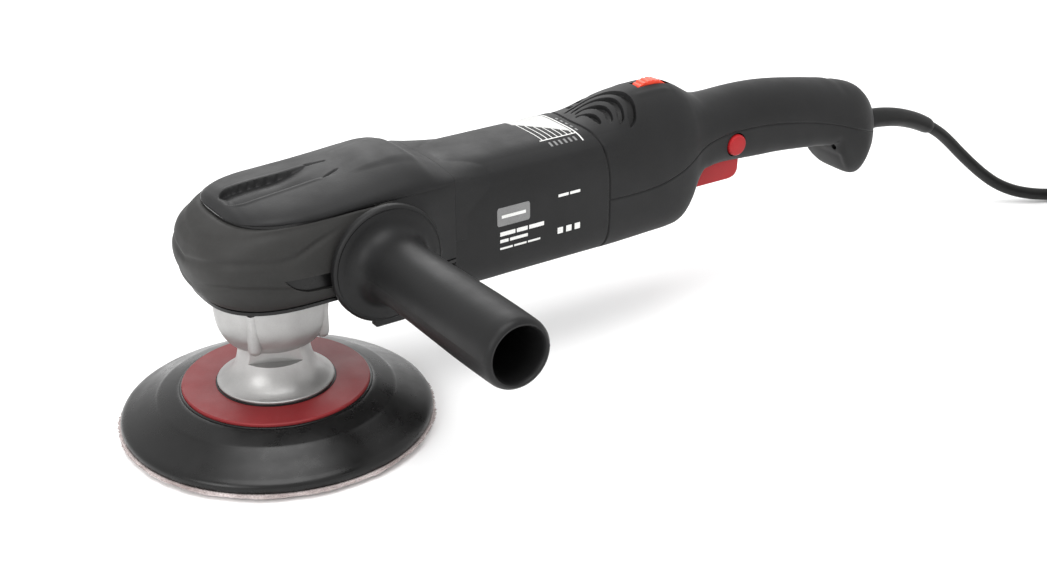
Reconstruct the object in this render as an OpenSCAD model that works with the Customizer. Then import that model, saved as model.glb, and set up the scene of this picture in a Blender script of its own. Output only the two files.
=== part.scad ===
// Rotary polisher with a 150 mm backing pad, a side handle and a switched rear handle.
// The origin is the centre of the pad's working face, +Z is the spindle axis,
// +X runs back along the body and -Y is the side that carries the side handle.

/* [Pad] */
// Radius of the backing pad
pad_r = 75; // [70:0.5:80]
// Height of the pad above its working face
pad_h = 22; // [20:0.5:24]
// Thickness of the hook layer on the working face
hook_h = 3.4; // [3:0.1:4]
// Outer radius of the red cover ring
ring_r = 45; // [42:0.5:50]
// Radius of the hub's foot
hub_r = 28; // [26:0.5:29]

/* [Gear head] */
// Height of the underside of the gear head
head_z0 = 75; // [74:0.5:77]
// Height of the seam between bumper and top cover
head_z1 = 114.7; // [113:0.1:116]
// Radius of the bearing flange below the head
flange_r = 27.3; // [26:0.1:28]
// Radius of the pocket for the spindle gear
gear_pocket_r = 31.2; // [30.6:0.1:31.6]

/* [Gears] */
// Tooth module of both gear pairs
mod = 1.25; // [1.25]
// Teeth of the large gear on the spindle
spindle_teeth = 46; // [46]
// Teeth of the small gear on the layshaft
lay_teeth = 10; // [10]
// Teeth of the bevel wheel on the layshaft
bevel_teeth = 30; // [30]
// Teeth of the bevel pinion on the armature shaft
bevel_pinion_teeth = 12; // [12]

/* [Motor body] */
// Height of the armature axis
motor_z = 89; // [89]
// Front face of the motor housing
motor_x0 = 84; // [83:0.5:86]
// Rear face of the motor housing
motor_x1 = 168; // [166:0.5:169]
// Half width of the motor housing
motor_w = 30; // [29:0.5:31]
// Wall thickness of the plastic shells
wall = 2.5; // [2:0.1:3]

/* [Side handle] */
// Distance of the side handle's axis behind the spindle
side_x = 40; // [40]
// Radius of the grip at its open end
grip_r = 16.4; // [16:0.1:18]
// Distance of the grip's open end from the spindle plane
grip_end = 152; // [140:1:160]

/* [Controls] */
// Radius of the speed wheel
dial_r = 14; // [13:0.5:14]
// Distance of the speed wheel's axis behind the spindle
dial_x = 221; // [219:0.1:222]
// Height of the speed wheel's axis
dial_z = 116.9; // [116.5:0.1:117]
// Thickness of the speed wheel
dial_t = 6; // [5:0.5:6]
// Radius of the lock button
button_r = 5.8; // [5:0.1:6]
// Half width of the trigger
trigger_w = 9; // [8:0.5:9]

/* [Cord] */
// Diameter of the mains cord
cord_d = 7.2; // [7:0.1:7.6]
// Mean diameter of the stored coil
coil_d = 80; // [78:1:84]

/* [Hidden] */
$fn = 48;

// Pitch radii, gear centres and the common tooth shape
spindle_gear_r = mod * spindle_teeth / 2;
lay_gear_r = mod * lay_teeth / 2;
lay_x = spindle_gear_r + lay_gear_r;
bevel_r = mod * bevel_teeth / 2;
bevel_pinion_r = mod * bevel_pinion_teeth / 2;
pressure = 20;
tooth_fill = 0.86;
bevel_face = 6;

// Place and length of the motor's iron
core_x = 101.5;
core_l = 38;

// Shaft radii
spindle_shaft_r = 7;
lay_shaft_r = 4;
arm_shaft_r = 4;
pinion_bore = 2.5;

// Rear body stations: x, half width, bottom, split height, top, top exponent
REAR = [
  [168, 30.0, 53.2, 84.0, 118.4, 3.7], [175, 30.0, 53.2, 83.6, 118.9, 3.3],
  [182, 29.9, 53.2, 83.3, 121.0, 2.9], [190, 29.7, 53.3, 83.1, 124.6, 2.5],
  [198, 29.4, 53.4, 83.0, 127.4, 2.3], [206, 29.0, 53.5, 83.4, 128.7, 2.2],
  [213, 28.7, 53.4, 84.4, 129.2, 2.1], [220, 28.1, 53.4, 86.0, 129.3, 2.1],
  [226, 27.4, 54.0, 87.8, 128.8, 2.1], [231, 26.4, 56.4, 89.8, 127.6, 2.1],
  [236, 24.9, 62.6, 92.0, 125.6, 2.1], [240, 23.3, 70.8, 93.7, 123.2, 2.1],
  [245, 21.9, 77.6, 95.3, 120.0, 2.1], [251, 21.0, 79.0, 96.6, 116.8, 2.1],
  [258, 20.2, 79.4, 97.4, 115.4, 2.1], [266, 19.7, 79.0, 97.8, 115.2, 2.1],
  [277, 19.3, 78.0, 97.6, 115.6, 2.1], [288, 19.1, 77.2, 96.9, 115.6, 2.1],
  [300, 19.0, 76.6, 95.4, 114.9, 2.1], [312, 19.0, 75.5, 93.4, 113.4, 2.1],
  [324, 19.0, 74.2, 90.8, 111.4, 2.1], [335, 19.1, 72.8, 88.0, 109.4, 2.1],
  [341, 19.2, 71.8, 86.2, 108.2, 2.1], [347, 19.3, 70.6, 84.2, 107.0, 2.1],
  [350, 19.4, 62.4, 83.0, 106.2, 2.1], [354, 19.5, 55.2, 81.6, 105.2, 2.1],
  [359, 19.4, 51.0, 79.8, 103.8, 2.1], [364, 18.8, 50.2, 78.0, 102.2, 2.1],
  [368, 17.8, 53.0, 76.6, 100.4, 2.1], [372, 16.0, 57.8, 75.2, 97.4, 2.1],
  [376, 13.2, 63.2, 74.4, 93.0, 2.1], [379, 9.6, 66.8, 74.0, 87.0, 2.1],
  [380.4, 6.4, 69.0, 73.8, 82.0, 2.1],
];
bottom_n = 4.5;

// Motor section in the same form, for its two ends
MOTOR = [
  [motor_x0, 30.4, 54.6, 84.0, 117.6, 3.5],
  [motor_x0 + 6, 30.2, 53.8, 84.0, 118.0, 3.6],
  [motor_x0 + 16, motor_w, 53.2, 84.0, 118.3, 3.7],
  [motor_x1, motor_w, 53.2, 84.0, 118.3, 3.7],
];

// Bumper levels: z, nose x, half width
HEAD = [
  [head_z0, -33.6, 36.0], [head_z0 + 4, -37.0, 38.0], [head_z0 + 10, -39.4, 39.3],
  [head_z0 + 18, -40.6, 39.8], [head_z0 + 26, -39.8, 39.2], [head_z0 + 32, -36.8, 37.6],
  [head_z0 + 36.5, -31.6, 35.6], [head_z1, -25.4, 34.2],
];
head_skin = 3;

// Top cover stations: x, half width, top
LID = [
  [-24.6, 13, 115.6], [-22.5, 19, 117.4], [-18, 25, 119.2], [-11, 30, 120.4],
  [-2, 33, 121.2], [12, 34, 122.0], [28, 34, 123.4], [42, 34, 125.0],
  [54, 34, 126.4], [64, 33.8, 127.0], [70, 33.4, 125.8], [76, 32.8, 122.0],
  [81, 32.0, 119.8], [motor_x0 - 0.1, 31.4, 119.2],
];

// Route of the cord from the strain relief to the coil, in round numbers
CORD = [
  [351, 0, 75], [364, 0, 75], [377, 0, 75], [387, 0, 75], [396, 0, 74],
  [406, 0, 72], [416, 0, 69], [426, 0, 65],
  [436, 0, 60], [446, -0.5, 53.5], [455, -1, 46], [464, -2, 37.5], [473, -4, 29], [482, -6.5, 21],
  [492, -10, 13.5], [503, -15, 8], [515, -21, 5], [528, -28, 4], [541, -37, 4], [552, -48, 4],
  [562, -61, 4], [570, -75, 4], [575, -90, 4], [577, -106, 4],
];
coil_x = 530;
coil_y = -107;
coil_h = 4 * cord_d;
coil_round = 3;

// Place of the plug on top of the coil, from the coil's centre
plug_dx = 12;
plug_dy = 32;

// ---------- shared shapes ----------

// Interpolates column c of a table at x
function at(t, x, c, i = 0) =
  i >= len(t) - 2 || x <= t[i + 1][0]
    ? t[i][c] + (t[i + 1][c] - t[i][c]) * (x - t[i][0]) / (t[i + 1][0] - t[i][0])
    : at(t, x, c, i + 1);

// One point of a body section at angle a; inset moves it inwards
function body_pt(s, a, inset = 0) =
  let (c = cos(a), n = sin(a) >= 0 ? s[5] : bottom_n,
       b = sin(a) >= 0 ? s[4] - s[3] - inset : s[3] - s[2] - inset,
       w = s[1] - inset)
  [s[0], -w * sign(c) * pow(abs(c), 2 / n), s[3] + b * sign(sin(a)) * pow(abs(sin(a)), 2 / n)];

// A plan outline of the head: round nose, straight side, taper to the motor
function head_line(nose, w, rear_w, n = 2.7) =
  let (side = [[motor_x0 - 0.1, rear_w], [74, rear_w + 0.3 * (w - rear_w)],
               [62, rear_w + 0.85 * (w - rear_w)], [50, w], [28, w]])
  concat(
    [for (p = side) [p[0], -p[1]]],
    [for (a = [270 : -10 : 90]) let (c = cos(a), s = sin(a))
      [8 + (8 - nose) * sign(c) * pow(abs(c), 2 / n), w * sign(s) * pow(abs(s), 2 / n)]],
    [for (i = [len(side) - 1 : -1 : 0]) side[i]]);

// Solid through a list of closed rings with equal point counts. In an open shell the
// ring runs out along the outer wall and back along the inner one
module skin(rings, flip = false, shell = false) {
  n = len(rings[0]);
  m = len(rings);
  cap = shell ? [for (i = [0 : n / 2 - 2]) [i, i + 1, n - 2 - i, n - 1 - i]] : [[for (i = [0 : n - 1]) i]];
  quads = [for (j = [0 : m - 2], i = [0 : n - 1]) let (k = (i + 1) % n)
    [[j * n + i, j * n + k, (j + 1) * n + k], [j * n + i, (j + 1) * n + k, (j + 1) * n + i]]];
  side = [for (q = quads) each q];
  caps = concat([for (c = cap) [for (i = [len(c) - 1 : -1 : 0]) c[i]]],
                [for (c = cap) [for (i = c) (m - 1) * n + i]]);
  all = concat(side, caps);
  polyhedron(points = [for (r = rings) each r],
             faces = flip ? [for (f = all) [for (i = [len(f) - 1 : -1 : 0]) f[i]]] : all,
             convexity = 10);
}

// Cylinders along the other axes
module along_x(x, y, z, r, l) translate([x, y, z]) rotate([0, 90, 0]) cylinder(r = r, h = l);
module along_y(x, y, z, r, l) translate([x, y, z]) rotate([-90, 0, 0]) cylinder(r = r, h = l);
module up(x, y, z, r, l) translate([x, y, z]) cylinder(r = r, h = l);

// Ball bearing standing on z = 0: rings, shields and bore
module bearing(outer, bore, width) {
  rotate_extrude() polygon([
    [bore, 0], [bore + 1.2, 0], [bore + 1.2, 0.5], [outer - 1.2, 0.5], [outer - 1.2, 0], [outer, 0],
    [outer, width], [outer - 1.2, width], [outer - 1.2, width - 0.5], [bore + 1.2, width - 0.5],
    [bore + 1.2, width], [bore, width]]);
}
module bearing_x(x, outer, bore, width)
  translate([x, 0, motor_z]) rotate([0, 90, 0]) bearing(outer, bore, width);

// Involute half angle of a tooth at radius r
function inv(a) = tan(a) * 180 / PI - a;
function tooth_half(rp, z, r) =
  let (rb = rp * cos(pressure), q = max(r, rb + 0.001))
  tooth_fill * 90 / z + inv(pressure) - inv(acos(rb / q));
// Radii at which a tooth flank is drawn, from root to tip
function flank(rp, m) = [for (k = [-1.25, -0.9, -0.5, 0, 0.45, 0.9]) rp + k * m];

// Spur gear blank with involute teeth, phase turns it
module spur(rp, z, h, phase = 0) {
  rr = flank(rp, mod);
  pts = [for (t = [0 : z - 1]) let (a0 = phase + t * 360 / z)
    each concat(
      [for (r = rr) let (h2 = tooth_half(rp, z, r)) [r * cos(a0 - h2), r * sin(a0 - h2)]],
      [for (i = [len(rr) - 1 : -1 : 0]) let (r = rr[i], h2 = tooth_half(rp, z, r))
        [r * cos(a0 + h2), r * sin(a0 + h2)]])];
  linear_extrude(height = h) polygon(pts);
}

// Ring of tooth points of a bevel gear about Z with its apex at the origin and its
// body above; s scales it towards the apex
function bevel_ring(rp, z, height, phase, s) =
  let (cone = sqrt(rp * rp + height * height), cd = height / cone, sd = rp / cone,
       rv = rp / cd, zv = z / cd)
  [for (t = [0 : z - 1]) let (a0 = phase + t * 360 / z)
    each [for (side = [-1, 1]) each [for (i = side < 0 ? [0 : 3] : [3 : -1 : 0])
      let (k = [-1.25, -0.5, 0.2, 0.9][i] * mod, r = rv + k,
           w = side * r * sin(tooth_half(rv, zv, r)),
           rad = rp + k * cd, up = height - k * sd)
      s * [rad * cos(a0) - w * sin(a0), rad * sin(a0) + w * cos(a0), up]]]];
function flat_ring(n, r, z, phase = 0) = [for (i = [0 : n - 1]) let (a = phase + 360 * (i + 0.5) / n)
  [r * cos(a), r * sin(a), z]];
module bevel(rp, z, height, back, bore, phase = 0) {
  cone = sqrt(rp * rp + height * height);
  small = 1 - bevel_face / cone;
  n = z * 8;
  off = phase - 180 / z;
  difference() {
    skin([
      flat_ring(n, rp * small * 0.62, small * height - 0.2, off),
      bevel_ring(rp, z, height, phase, small), bevel_ring(rp, z, height, phase, 1),
      flat_ring(n, rp - 2 * mod, height + back, off)]);
    translate([0, 0, -1]) cylinder(r = bore, h = height + back + 2);
  }
}

// ---------- pad and spindle ----------

module pad_hook_face() {
  color("rosybrown") rotate_extrude($fn = 96)
    polygon([[8, 0], [pad_r - 4, 0], [pad_r + 0.2, 1.8], [pad_r + 1, hook_h], [8, hook_h]]);
}

module pad_disc() {
  color([0.09, 0.09, 0.09]) rotate_extrude($fn = 96) polygon([
    [20, hook_h], [pad_r - 0.8, hook_h], [pad_r, 4.4], [pad_r, 6.4], [pad_r - 0.8, 7.8],
    [pad_r - 3, 9.2], [58, 15.6], [ring_r + 0.6, 20.4], [ring_r + 0.2, pad_h - 2.2],
    [34, pad_h - 2.2], [34, 8], [20, 8]]);
}

module pad_stiffener() {
  color("dimgray") rotate_extrude($fn = 96) polygon([
    [8, hook_h + 0.1], [19.9, hook_h + 0.1], [19.9, 8.1], [33.9, 8.1], [33.9, 12], [8, 12]]);
}

module pad_ring() {
  color([0.62, 0.13, 0.13]) rotate_extrude($fn = 96) polygon([
    [hub_r - 1, pad_h - 2.1], [ring_r, pad_h - 2.1], [ring_r, pad_h - 0.6],
    [ring_r - 0.8, pad_h], [hub_r + 0.4, pad_h + 0.4], [hub_r - 1, pad_h + 0.4]]);
}

module pad_hub() {
  color("silver") difference() {
    rotate_extrude($fn = 96) polygon([
      [7, 12.1], [hub_r - 2, 12.1], [hub_r - 2, pad_h + 0.5], [hub_r, pad_h + 0.5], [hub_r, 24],
      [hub_r - 1.4, 25.2], [23, 27.6], [19.6, 31], [17.8, 35], [17, 39], [17, 44.2], [7, 44.2]]);
    rotate(-23) for (s = [-1, 1]) translate([-20, s > 0 ? 12.2 : -22.2, 37]) cube([40, 10, 8]);
  }
}

module spindle() {
  color("silver") difference() {
    union() {
      up(0, 0, 14, spindle_shaft_r - 0.05, 30.3);
      up(0, 0, 44.25, 12, 4);
      up(0, 0, 48.2, 10, 8.4);
      up(0, 0, 56.5, spindle_shaft_r + 0.45, 26.5);
      up(0, 0, 82.9, spindle_shaft_r, 10.4);
      up(0, 0, 93.2, 4.98, 13);
    }
    up(0, 0, 13, 3, 12);
  }
}

module spindle_gear() {
  color("gray") difference() {
    union() {
      translate([0, 0, 84]) spur(spindle_gear_r, spindle_teeth, 8);
      up(0, 0, 83, 12, 1.1);
    }
    up(0, 0, 82, spindle_shaft_r + 0.02, 12);
    difference() {
      up(0, 0, 89.6, 24.4, 4);
      up(0, 0, 88.6, 13, 6);
    }
    for (a = [30 : 60 : 330]) rotate(a) up(18.7, 0, 82, 3, 12);
  }
}

// Notched ring on the spindle's top end, for the spindle lock
module lock_ring() {
  color("gray") difference() {
    up(0, 0, 99.4, 8.4, 6.8);
    up(0, 0, 98, 5, 10);
    for (a = [0 : 90 : 270]) rotate(a) translate([6.2, -3.3, 98]) cube([4, 6.6, 10]);
  }
}

// ---------- layshaft ----------

module layshaft() {
  color("darkgray") translate([lay_x, 0, 0]) {
    up(0, 0, 76.8, 3, 6.6);
    translate([0, 0, 83.4]) spur(lay_gear_r, lay_teeth, 9, 180 / lay_teeth);
    up(0, 0, 92.3, lay_shaft_r, 20.2);
  }
}

module bevel_wheel() {
  color("gray") translate([lay_x, 0, motor_z])
    bevel(bevel_r, bevel_teeth, bevel_pinion_r, 6.6, lay_shaft_r + 0.02);
}

// ---------- armature ----------

module armature_shaft() {
  color("silver") {
    along_x(47.6, 0, motor_z, pinion_bore, 10);
    along_x(56.8, 0, motor_z, arm_shaft_r, 115.2);
    along_x(60, 0, motor_z, 6, 14);
  }
}

module bevel_pinion() {
  color("gray") translate([lay_x, 0, motor_z]) rotate([0, 90, 0])
    bevel(bevel_pinion_r, bevel_pinion_teeth, bevel_r, 3, pinion_bore + 0.02, 180 / bevel_pinion_teeth);
}

module armature_core() {
  color("dimgray") translate([core_x, 0, motor_z]) rotate([0, 90, 0]) difference() {
    cylinder(r = 15.2, h = core_l);
    translate([0, 0, -1]) cylinder(r = arm_shaft_r + 0.02, h = core_l + 2);
    for (a = [0 : 30 : 330]) rotate(a) {
      translate([9, -1.6, -1]) cube([5, 3.2, core_l + 2]);
      translate([13.9, -0.6, -1]) cube([3, 1.2, core_l + 2]);
    }
  }
}

module armature_windings() {
  color("peru") translate([core_x, 0, motor_z]) rotate([0, 90, 0]) {
    for (z = [-5.2, core_l + 0.05]) translate([0, 0, z]) difference() {
      cylinder(r = 13.6, h = 5.15);
      translate([0, 0, -1]) cylinder(r = 5, h = 8);
    }
    for (a = [0 : 30 : 330]) rotate(a) translate([9.3, -1.3, -1]) cube([4.2, 2.6, core_l + 2]);
  }
}

module commutator() {
  color("peru") translate([147, 0, motor_z]) rotate([0, 90, 0]) difference() {
    union() {
      cylinder(r = 12.2, h = 2.5);
      cylinder(r = 10.5, h = 14);
    }
    translate([0, 0, -1]) cylinder(r = arm_shaft_r + 0.02, h = 16);
    for (a = [0 : 18 : 342]) rotate(a) translate([9.2, -0.25, -1]) cube([4, 0.5, 17]);
  }
}

module cooling_fan() {
  color("dimgray") translate([85.4, 0, motor_z]) rotate([0, 90, 0]) difference() {
    union() {
      cylinder(r = 23.5, h = 1.6);
      cylinder(r = 8, h = 9);
      for (a = [0 : 30 : 330]) rotate(a) translate([9.5, -0.7, 1.5]) cube([13.6, 1.4, 7.5]);
      difference() {
        cylinder(r = 10.2, h = 5);
        translate([0, 0, -1]) cylinder(r = 7.5, h = 8);
      }
    }
    translate([0, 0, -1]) cylinder(r = arm_shaft_r + 0.02, h = 12);
  }
}

// ---------- gear head ----------

module gear_case() {
  color("darkgray") difference() {
    union() {
      skin([for (h = HEAD) [for (p = head_line(h[1] + head_skin, h[2] - head_skin, 27.4))
        [p[0], p[1], h[0]]]]);
      for (s = [0, 1]) mirror([0, s, 0]) along_y(side_x, -40.6, motor_z, 11, 6);
      along_x(57, 0, motor_z, 19.4, 20);
      collar(76, motor_x0 - 0.2, 27, 58, 114.6);
    }
    // gear chamber
    translate([0, 0, head_z0 - 1]) cylinder(r = gear_pocket_r, h = 33, $fn = 96);
    translate([0, -24, head_z0 - 1]) cube([57, 48, 33]);
    up(lay_x, 0, 106, 11.02, 7.5);
    // armature bearing seat and shaft passage
    along_x(56, 0, motor_z, 11, 30);
    along_x(62, 0, motor_z, 16.02, 25);
    along_x(73, 0, motor_z, 21, 12);
    // side handle threads
    for (s = [0, 1]) mirror([0, s, 0]) along_y(side_x, -41, motor_z, 3.4, 15);
    // cover screws and spindle lock
    for (x = [-10, 66], y = [-21, 21]) up(x, y, 106, 1.9, 14);
    along_y(0, 20, 102.8, 3.05, 30);
  }
  // post that carries the spindle's upper bearing
  color("darkgray") difference() {
    up(0, 0, 93.4, 13.2, 14);
    up(0, 0, 93, 11.02, 6.42);
    up(0, 0, 99, 9, 7.6);
    along_y(0, 4, 102.8, 3.05, 20);
  }
}

// Square collar with round corners between two X positions
module collar(x0, x1, w, z0, z1, r = 9) {
  translate([x0, 0, 0]) rotate([90, 0, 90]) linear_extrude(height = x1 - x0) union() {
    translate([-w, z0 + r]) square([2 * w, z1 - z0 - 2 * r]);
    translate([-w + r, z0]) square([2 * (w - r), z1 - z0]);
    for (y = [-w + r, w - r], z = [z0 + r, z1 - r]) translate([y, z]) circle(r = r);
  }
}

module base_plate() {
  color("darkgray") difference() {
    union() {
      translate([0, 0, head_z0 + 0.2]) cylinder(r = gear_pocket_r - 1.2, h = 3.6, $fn = 96);
      translate([0, -23.9, head_z0 + 0.2]) cube([56.9, 47.8, 3.6]);
      up(lay_x, 0, head_z0 + 0.2, 12.2, 7.8);
    }
    up(0, 0, head_z0 - 1, 15.6, 9);
    up(lay_x, 0, 76.8, 9.52, 8);
    for (a = [45 : 90 : 315]) rotate(a) up(23.6, 0, head_z0 - 1, 1.7, 8);
  }
}

module spindle_flange() {
  color("silver") difference() {
    union() {
      rotate_extrude($fn = 96) polygon([
        [12.4, 45.6], [19.6, 45.6], [21.8, 46.8], [flange_r - 2, 53.4], [flange_r - 0.5, 56.6],
        [flange_r, 59.6],
        [flange_r, head_z0 + 0.1], [12.4, head_z0 + 0.1]]);
      for (a = [45 : 90 : 315]) rotate(a) hull() {
        up(24.6, 0, 55, 3.6, 15, $fn = 32);
        up(20.4, 0, 48, 3.2, 2, $fn = 32);
      }
    }
    up(0, 0, 56, 16.02, 14);
    up(0, 0, 69.9, 14.6, 7);
    up(0, 0, 48.4, 13.6, 8);
    for (a = [45 : 90 : 315]) rotate(a) {
      up(25.2, 0, 66, 2.9, 4.2);
      up(23.6, 0, 66, 2.7, 4.2);
      up(23.6, 0, 69, 1.7, 8);
    }
  }
}

module flange_screws() {
  color("darkgray") for (a = [45 : 90 : 315]) rotate(a) difference() {
    union() {
      up(23.6, 0, 67.2, 2.6, 2.7);
      up(23.6, 0, 69.8, 1.6, 9);
    }
    up(23.6, 0, 66, 1.1, 2.8, $fn = 6);
  }
}

module spindle_seal() {
  color([0.15, 0.15, 0.15]) difference() {
    up(0, 0, 49.4, 13.55, 5.6);
    up(0, 0, 48, 10.1, 9);
  }
}

module spindle_lower_bearing() {
  color("lightgray") translate([0, 0, 56.8]) bearing(16, spindle_shaft_r + 0.5, 10);
}

module spindle_upper_bearing() {
  color("lightgray") translate([0, 0, 93.4]) bearing(11, 5, 5.9);
}

module layshaft_lower_bearing() {
  color("lightgray") translate([lay_x, 0, 76.9]) bearing(9.5, 3.02, 5.6);
}

module layshaft_upper_bearing() {
  color("lightgray") translate([lay_x, 0, 106.2]) bearing(11, lay_shaft_r + 0.02, 7);
}

module armature_front_bearing() {
  color("lightgray") bearing_x(62.1, 16, 6.02, 10);
}

module armature_rear_bearing() {
  color("lightgray") bearing_x(164.6, 11, arm_shaft_r + 0.02, 7);
}

// Thin dark seal line under the bumper
module head_gasket() {
  color([0.05, 0.05, 0.05]) difference() {
    skin([for (z = [head_z0 - 1.2, head_z0 - 0.02])
      [for (p = head_line(-33.2, 35.6, 29.6)) [p[0], p[1], z]]]);
    up(0, 0, head_z0 - 3, flange_r + 0.2, 6);
    translate([0, -22, head_z0 - 3]) cube([56, 44, 6]);
    along_x(50, 0, motor_z, 19.5, 40);
    translate([75.9, -40, 60]) cube([20, 80, 30]);
  }
}

module head_bumper() {
  color([0.2, 0.2, 0.19]) difference() {
    skin([for (h = HEAD) concat(
      [for (p = head_line(h[1], h[2], 31)) [p[0], p[1], h[0]]],
      [for (i = [28 : -1 : 0]) let (p = head_line(h[1] + head_skin - 0.5, h[2] - head_skin + 0.5, 27.9)[i])
        [p[0], p[1], h[0]]])], shell = true);
    for (s = [0, 1]) mirror([0, s, 0]) along_y(side_x, -42, motor_z, 11.1, 12);
    along_y(0, 30, 102.8, 4.3, 14);
  }
}

// Arched sections of the top cover from the nose to the motor
module head_top_cover() {
  color([0.12, 0.12, 0.12]) difference() {
    skin([for (s = LID) let (z0 = head_z1 + 0.25, rise = s[2] - z0)
      [for (i = [0 : 24]) let (a = 180 * i / 24, c = cos(a))
        [s[0], -s[1] * sign(c) * pow(abs(c), 0.9), z0 + rise * pow(sin(a), 0.95)]]]);
    for (x = [-10, 66], y = [-21, 21]) up(x, y, head_z1 - 1, 1.9, 4);
  }
}

module gear_case_screws() {
  color("darkgray") for (x = [-10, 66], y = [-21, 21]) up(x, y, 107.4, 1.8, 10);
}

// ---------- motor ----------

module motor_housing() {
  color([0.13, 0.13, 0.13]) skin_tube(MOTOR, wall);
}

// Tube with an outer and an inner face through body sections
module skin_tube(t, th) {
  k = 48;
  m = len(t);
  outer = [for (s = t) [for (i = [0 : k - 1]) body_pt(s, 360 * i / k)]];
  inner = [for (s = t) [for (i = [0 : k - 1]) body_pt(s, 360 * i / k, th)]];
  rings = concat(outer, [for (i = [m - 1 : -1 : 0]) inner[i]]);
  total = len(rings);
  polyhedron(points = [for (r = rings) each r],
    faces = [for (j = [0 : total - 1], i = [0 : k - 1])
      let (n2 = (j + 1) % total, q = (i + 1) % k)
      each [[j * k + i, j * k + q, n2 * k + q], [j * k + i, n2 * k + q, n2 * k + i]]],
    convexity = 10);
}

module stator_core() {
  color("dimgray") translate([core_x, 0, motor_z]) rotate([0, 90, 0]) difference() {
    intersection() {
      cylinder(r = 28.4, h = core_l);
      translate([-26.4, -26, -1]) cube([52.8, 52, core_l + 2]);
    }
    translate([0, 0, -1]) cylinder(r = 15.8, h = core_l + 2);
    for (s = [0, 180]) rotate(s) {
      translate([-9, 15, -1]) cube([18, 6.5, core_l + 2]);
    }
  }
}

module field_windings() {
  color("peru") translate([0, 0, motor_z]) for (s = [-1, 1]) {
    translate([core_x - 4.4, s > 0 ? 15.9 : -21.3, -8.6]) cube([core_l + 8.8, 5.4, 17.2]);
  }
}

module fan_baffle() {
  color([0.1, 0.1, 0.1]) translate([94.8, 0, motor_z]) rotate([0, 90, 0]) difference() {
    intersection() {
      cylinder(r = 27, h = 1.5);
      translate([-26.5, -26, -1]) cube([53, 52, 4]);
    }
    translate([0, 0, -1]) cylinder(r = 22.2, h = 4);
  }
}

module rear_bearing_bracket() {
  color([0.16, 0.16, 0.16]) translate([162.4, 0, motor_z]) rotate([0, 90, 0]) difference() {
    union() {
      cylinder(r = 14, h = 10);
      translate([-3, -26, 0]) cube([6, 52, 5]);
      translate([-26, -3, 0]) cube([52, 6, 5]);
    }
    translate([0, 0, 2.1]) cylinder(r = 11.02, h = 10);
    translate([0, 0, -1]) cylinder(r = 8, h = 5);
  }
}

module brush_holders() {
  color("goldenrod") for (s = [0, 180]) translate([0, 0, motor_z]) rotate([s, 0, 0]) difference() {
    translate([149.9, 11.4, -5.4]) cube([9.2, 15.4, 10.8]);
    translate([151.4, 11, -3.9]) cube([6.2, 15, 7.8]);
  }
}

module carbon_brushes() {
  color([0.2, 0.2, 0.2]) for (s = [0, 180]) translate([0, 0, motor_z]) rotate([s, 0, 0])
    translate([151.5, 10.62, -3.8]) cube([6, 8.4, 7.6]);
}

module brush_springs() {
  color("silver") for (s = [0, 180]) translate([0, 0, motor_z]) rotate([s, 0, 0]) difference() {
    along_y(154.5, 19.05, 0, 2.6, 6.9);
    along_y(154.5, 18, 0, 1.9, 9);
  }
}

// ---------- rear handle ----------

// Half shell through the rear stations; up picks the upper or lower half
function half_ring(s, upper, th) =
  let (a0 = upper ? 0 : 180, k = 20, in = min(th, s[1] * 0.45))
  concat([for (i = [0 : k]) body_pt(s, a0 + 180 * i / k)],
         [for (i = [k : -1 : 0]) body_pt(s, a0 + 180 * i / k, in)]);

module dial_slot() {
  translate([dial_x, 0, dial_z]) rotate([90, 0, 0])
    cylinder(r = dial_r + 0.8, h = dial_t + 1.2, center = true);
}

module button_hole() {
  along_y(267, -26, 90.5, button_r + 0.25, 16);
}

module rear_housing_upper() {
  color([0.13, 0.13, 0.13]) difference() {
    skin([for (s = REAR) half_ring(s, true, wall)], shell = true);
    dial_slot();
    button_hole();
    along_x(370, 0, 75.1, 6.1, 20);
  }
}

module rear_housing_lower() {
  color([0.13, 0.13, 0.13]) difference() {
    translate([0, 0, -0.06]) skin([for (s = REAR) half_ring(s, false, wall)], shell = true);
    button_hole();
    translate([246.6, -trigger_w - 0.4, 60]) cube([33.8, 2 * trigger_w + 0.8, 24]);
    along_x(370, 0, 75.1, 6.1, 20);
  }
}

module rear_housing_screws() {
  color("darkgray") for (p = [[180, 22], [236, 14], [300, 9], [345, 9]]) {
    up(p[0], p[1], at(REAR, p[0], 3) - 10, 1.6, 18);
  }
}

module switch_module() {
  color([0.1, 0.1, 0.1]) translate([259, -9, 88.4]) cube([30, 22, 15.6]);
}

module speed_controller() {
  color("darkgreen") {
    translate([178, -16, 92]) cube([46, 32, 1.6]);
    translate([182, -12, 93.5]) cube([14, 10, 9]);
    translate([200, 2, 93.5]) cube([12, 9, 8]);
  }
}

module cord_clamp() {
  color("silver") difference() {
    translate([352, -8, 70]) cube([12, 16, 10]);
    along_x(351, 0, 75, cord_d / 2 + 0.05, 14);
  }
}

// ---------- side handle ----------

module side_handle_grip() {
  color([0.12, 0.12, 0.12]) difference() {
    union() {
      translate([side_x, 0, motor_z]) rotate([90, 0, 0]) rotate_extrude($fn = 96) polygon([
        [4.1, 40.7], [28.5, 40.7], [28.5, 44.4], [27.6, 45.4], [21, 46.4], [18.4, 48], [16.6, 51],
        [15.8, 56], [15.7, 70], [16.1, 95], [16.6, 120], [grip_r, 140], [grip_r, grip_end - 2.4],
        [grip_r - 0.9, grip_end - 0.7], [grip_r - 2.2, grip_end], [grip_r - 3.2, grip_end - 0.8],
        [grip_r - 3.6, grip_end - 3], [grip_r - 4, 72], [4.1, 66]]);
      translate([side_x - 9, -45, motor_z - 30.2]) cube([22, 4.3, 12]);
    }
  }
}

module side_handle_stud() {
  color("silver") {
    along_y(side_x, -64, motor_z, 4, 23.3);
    along_y(side_x, -40.8, motor_z, 3.35, 13);
  }
}

// ---------- controls ----------

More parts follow.
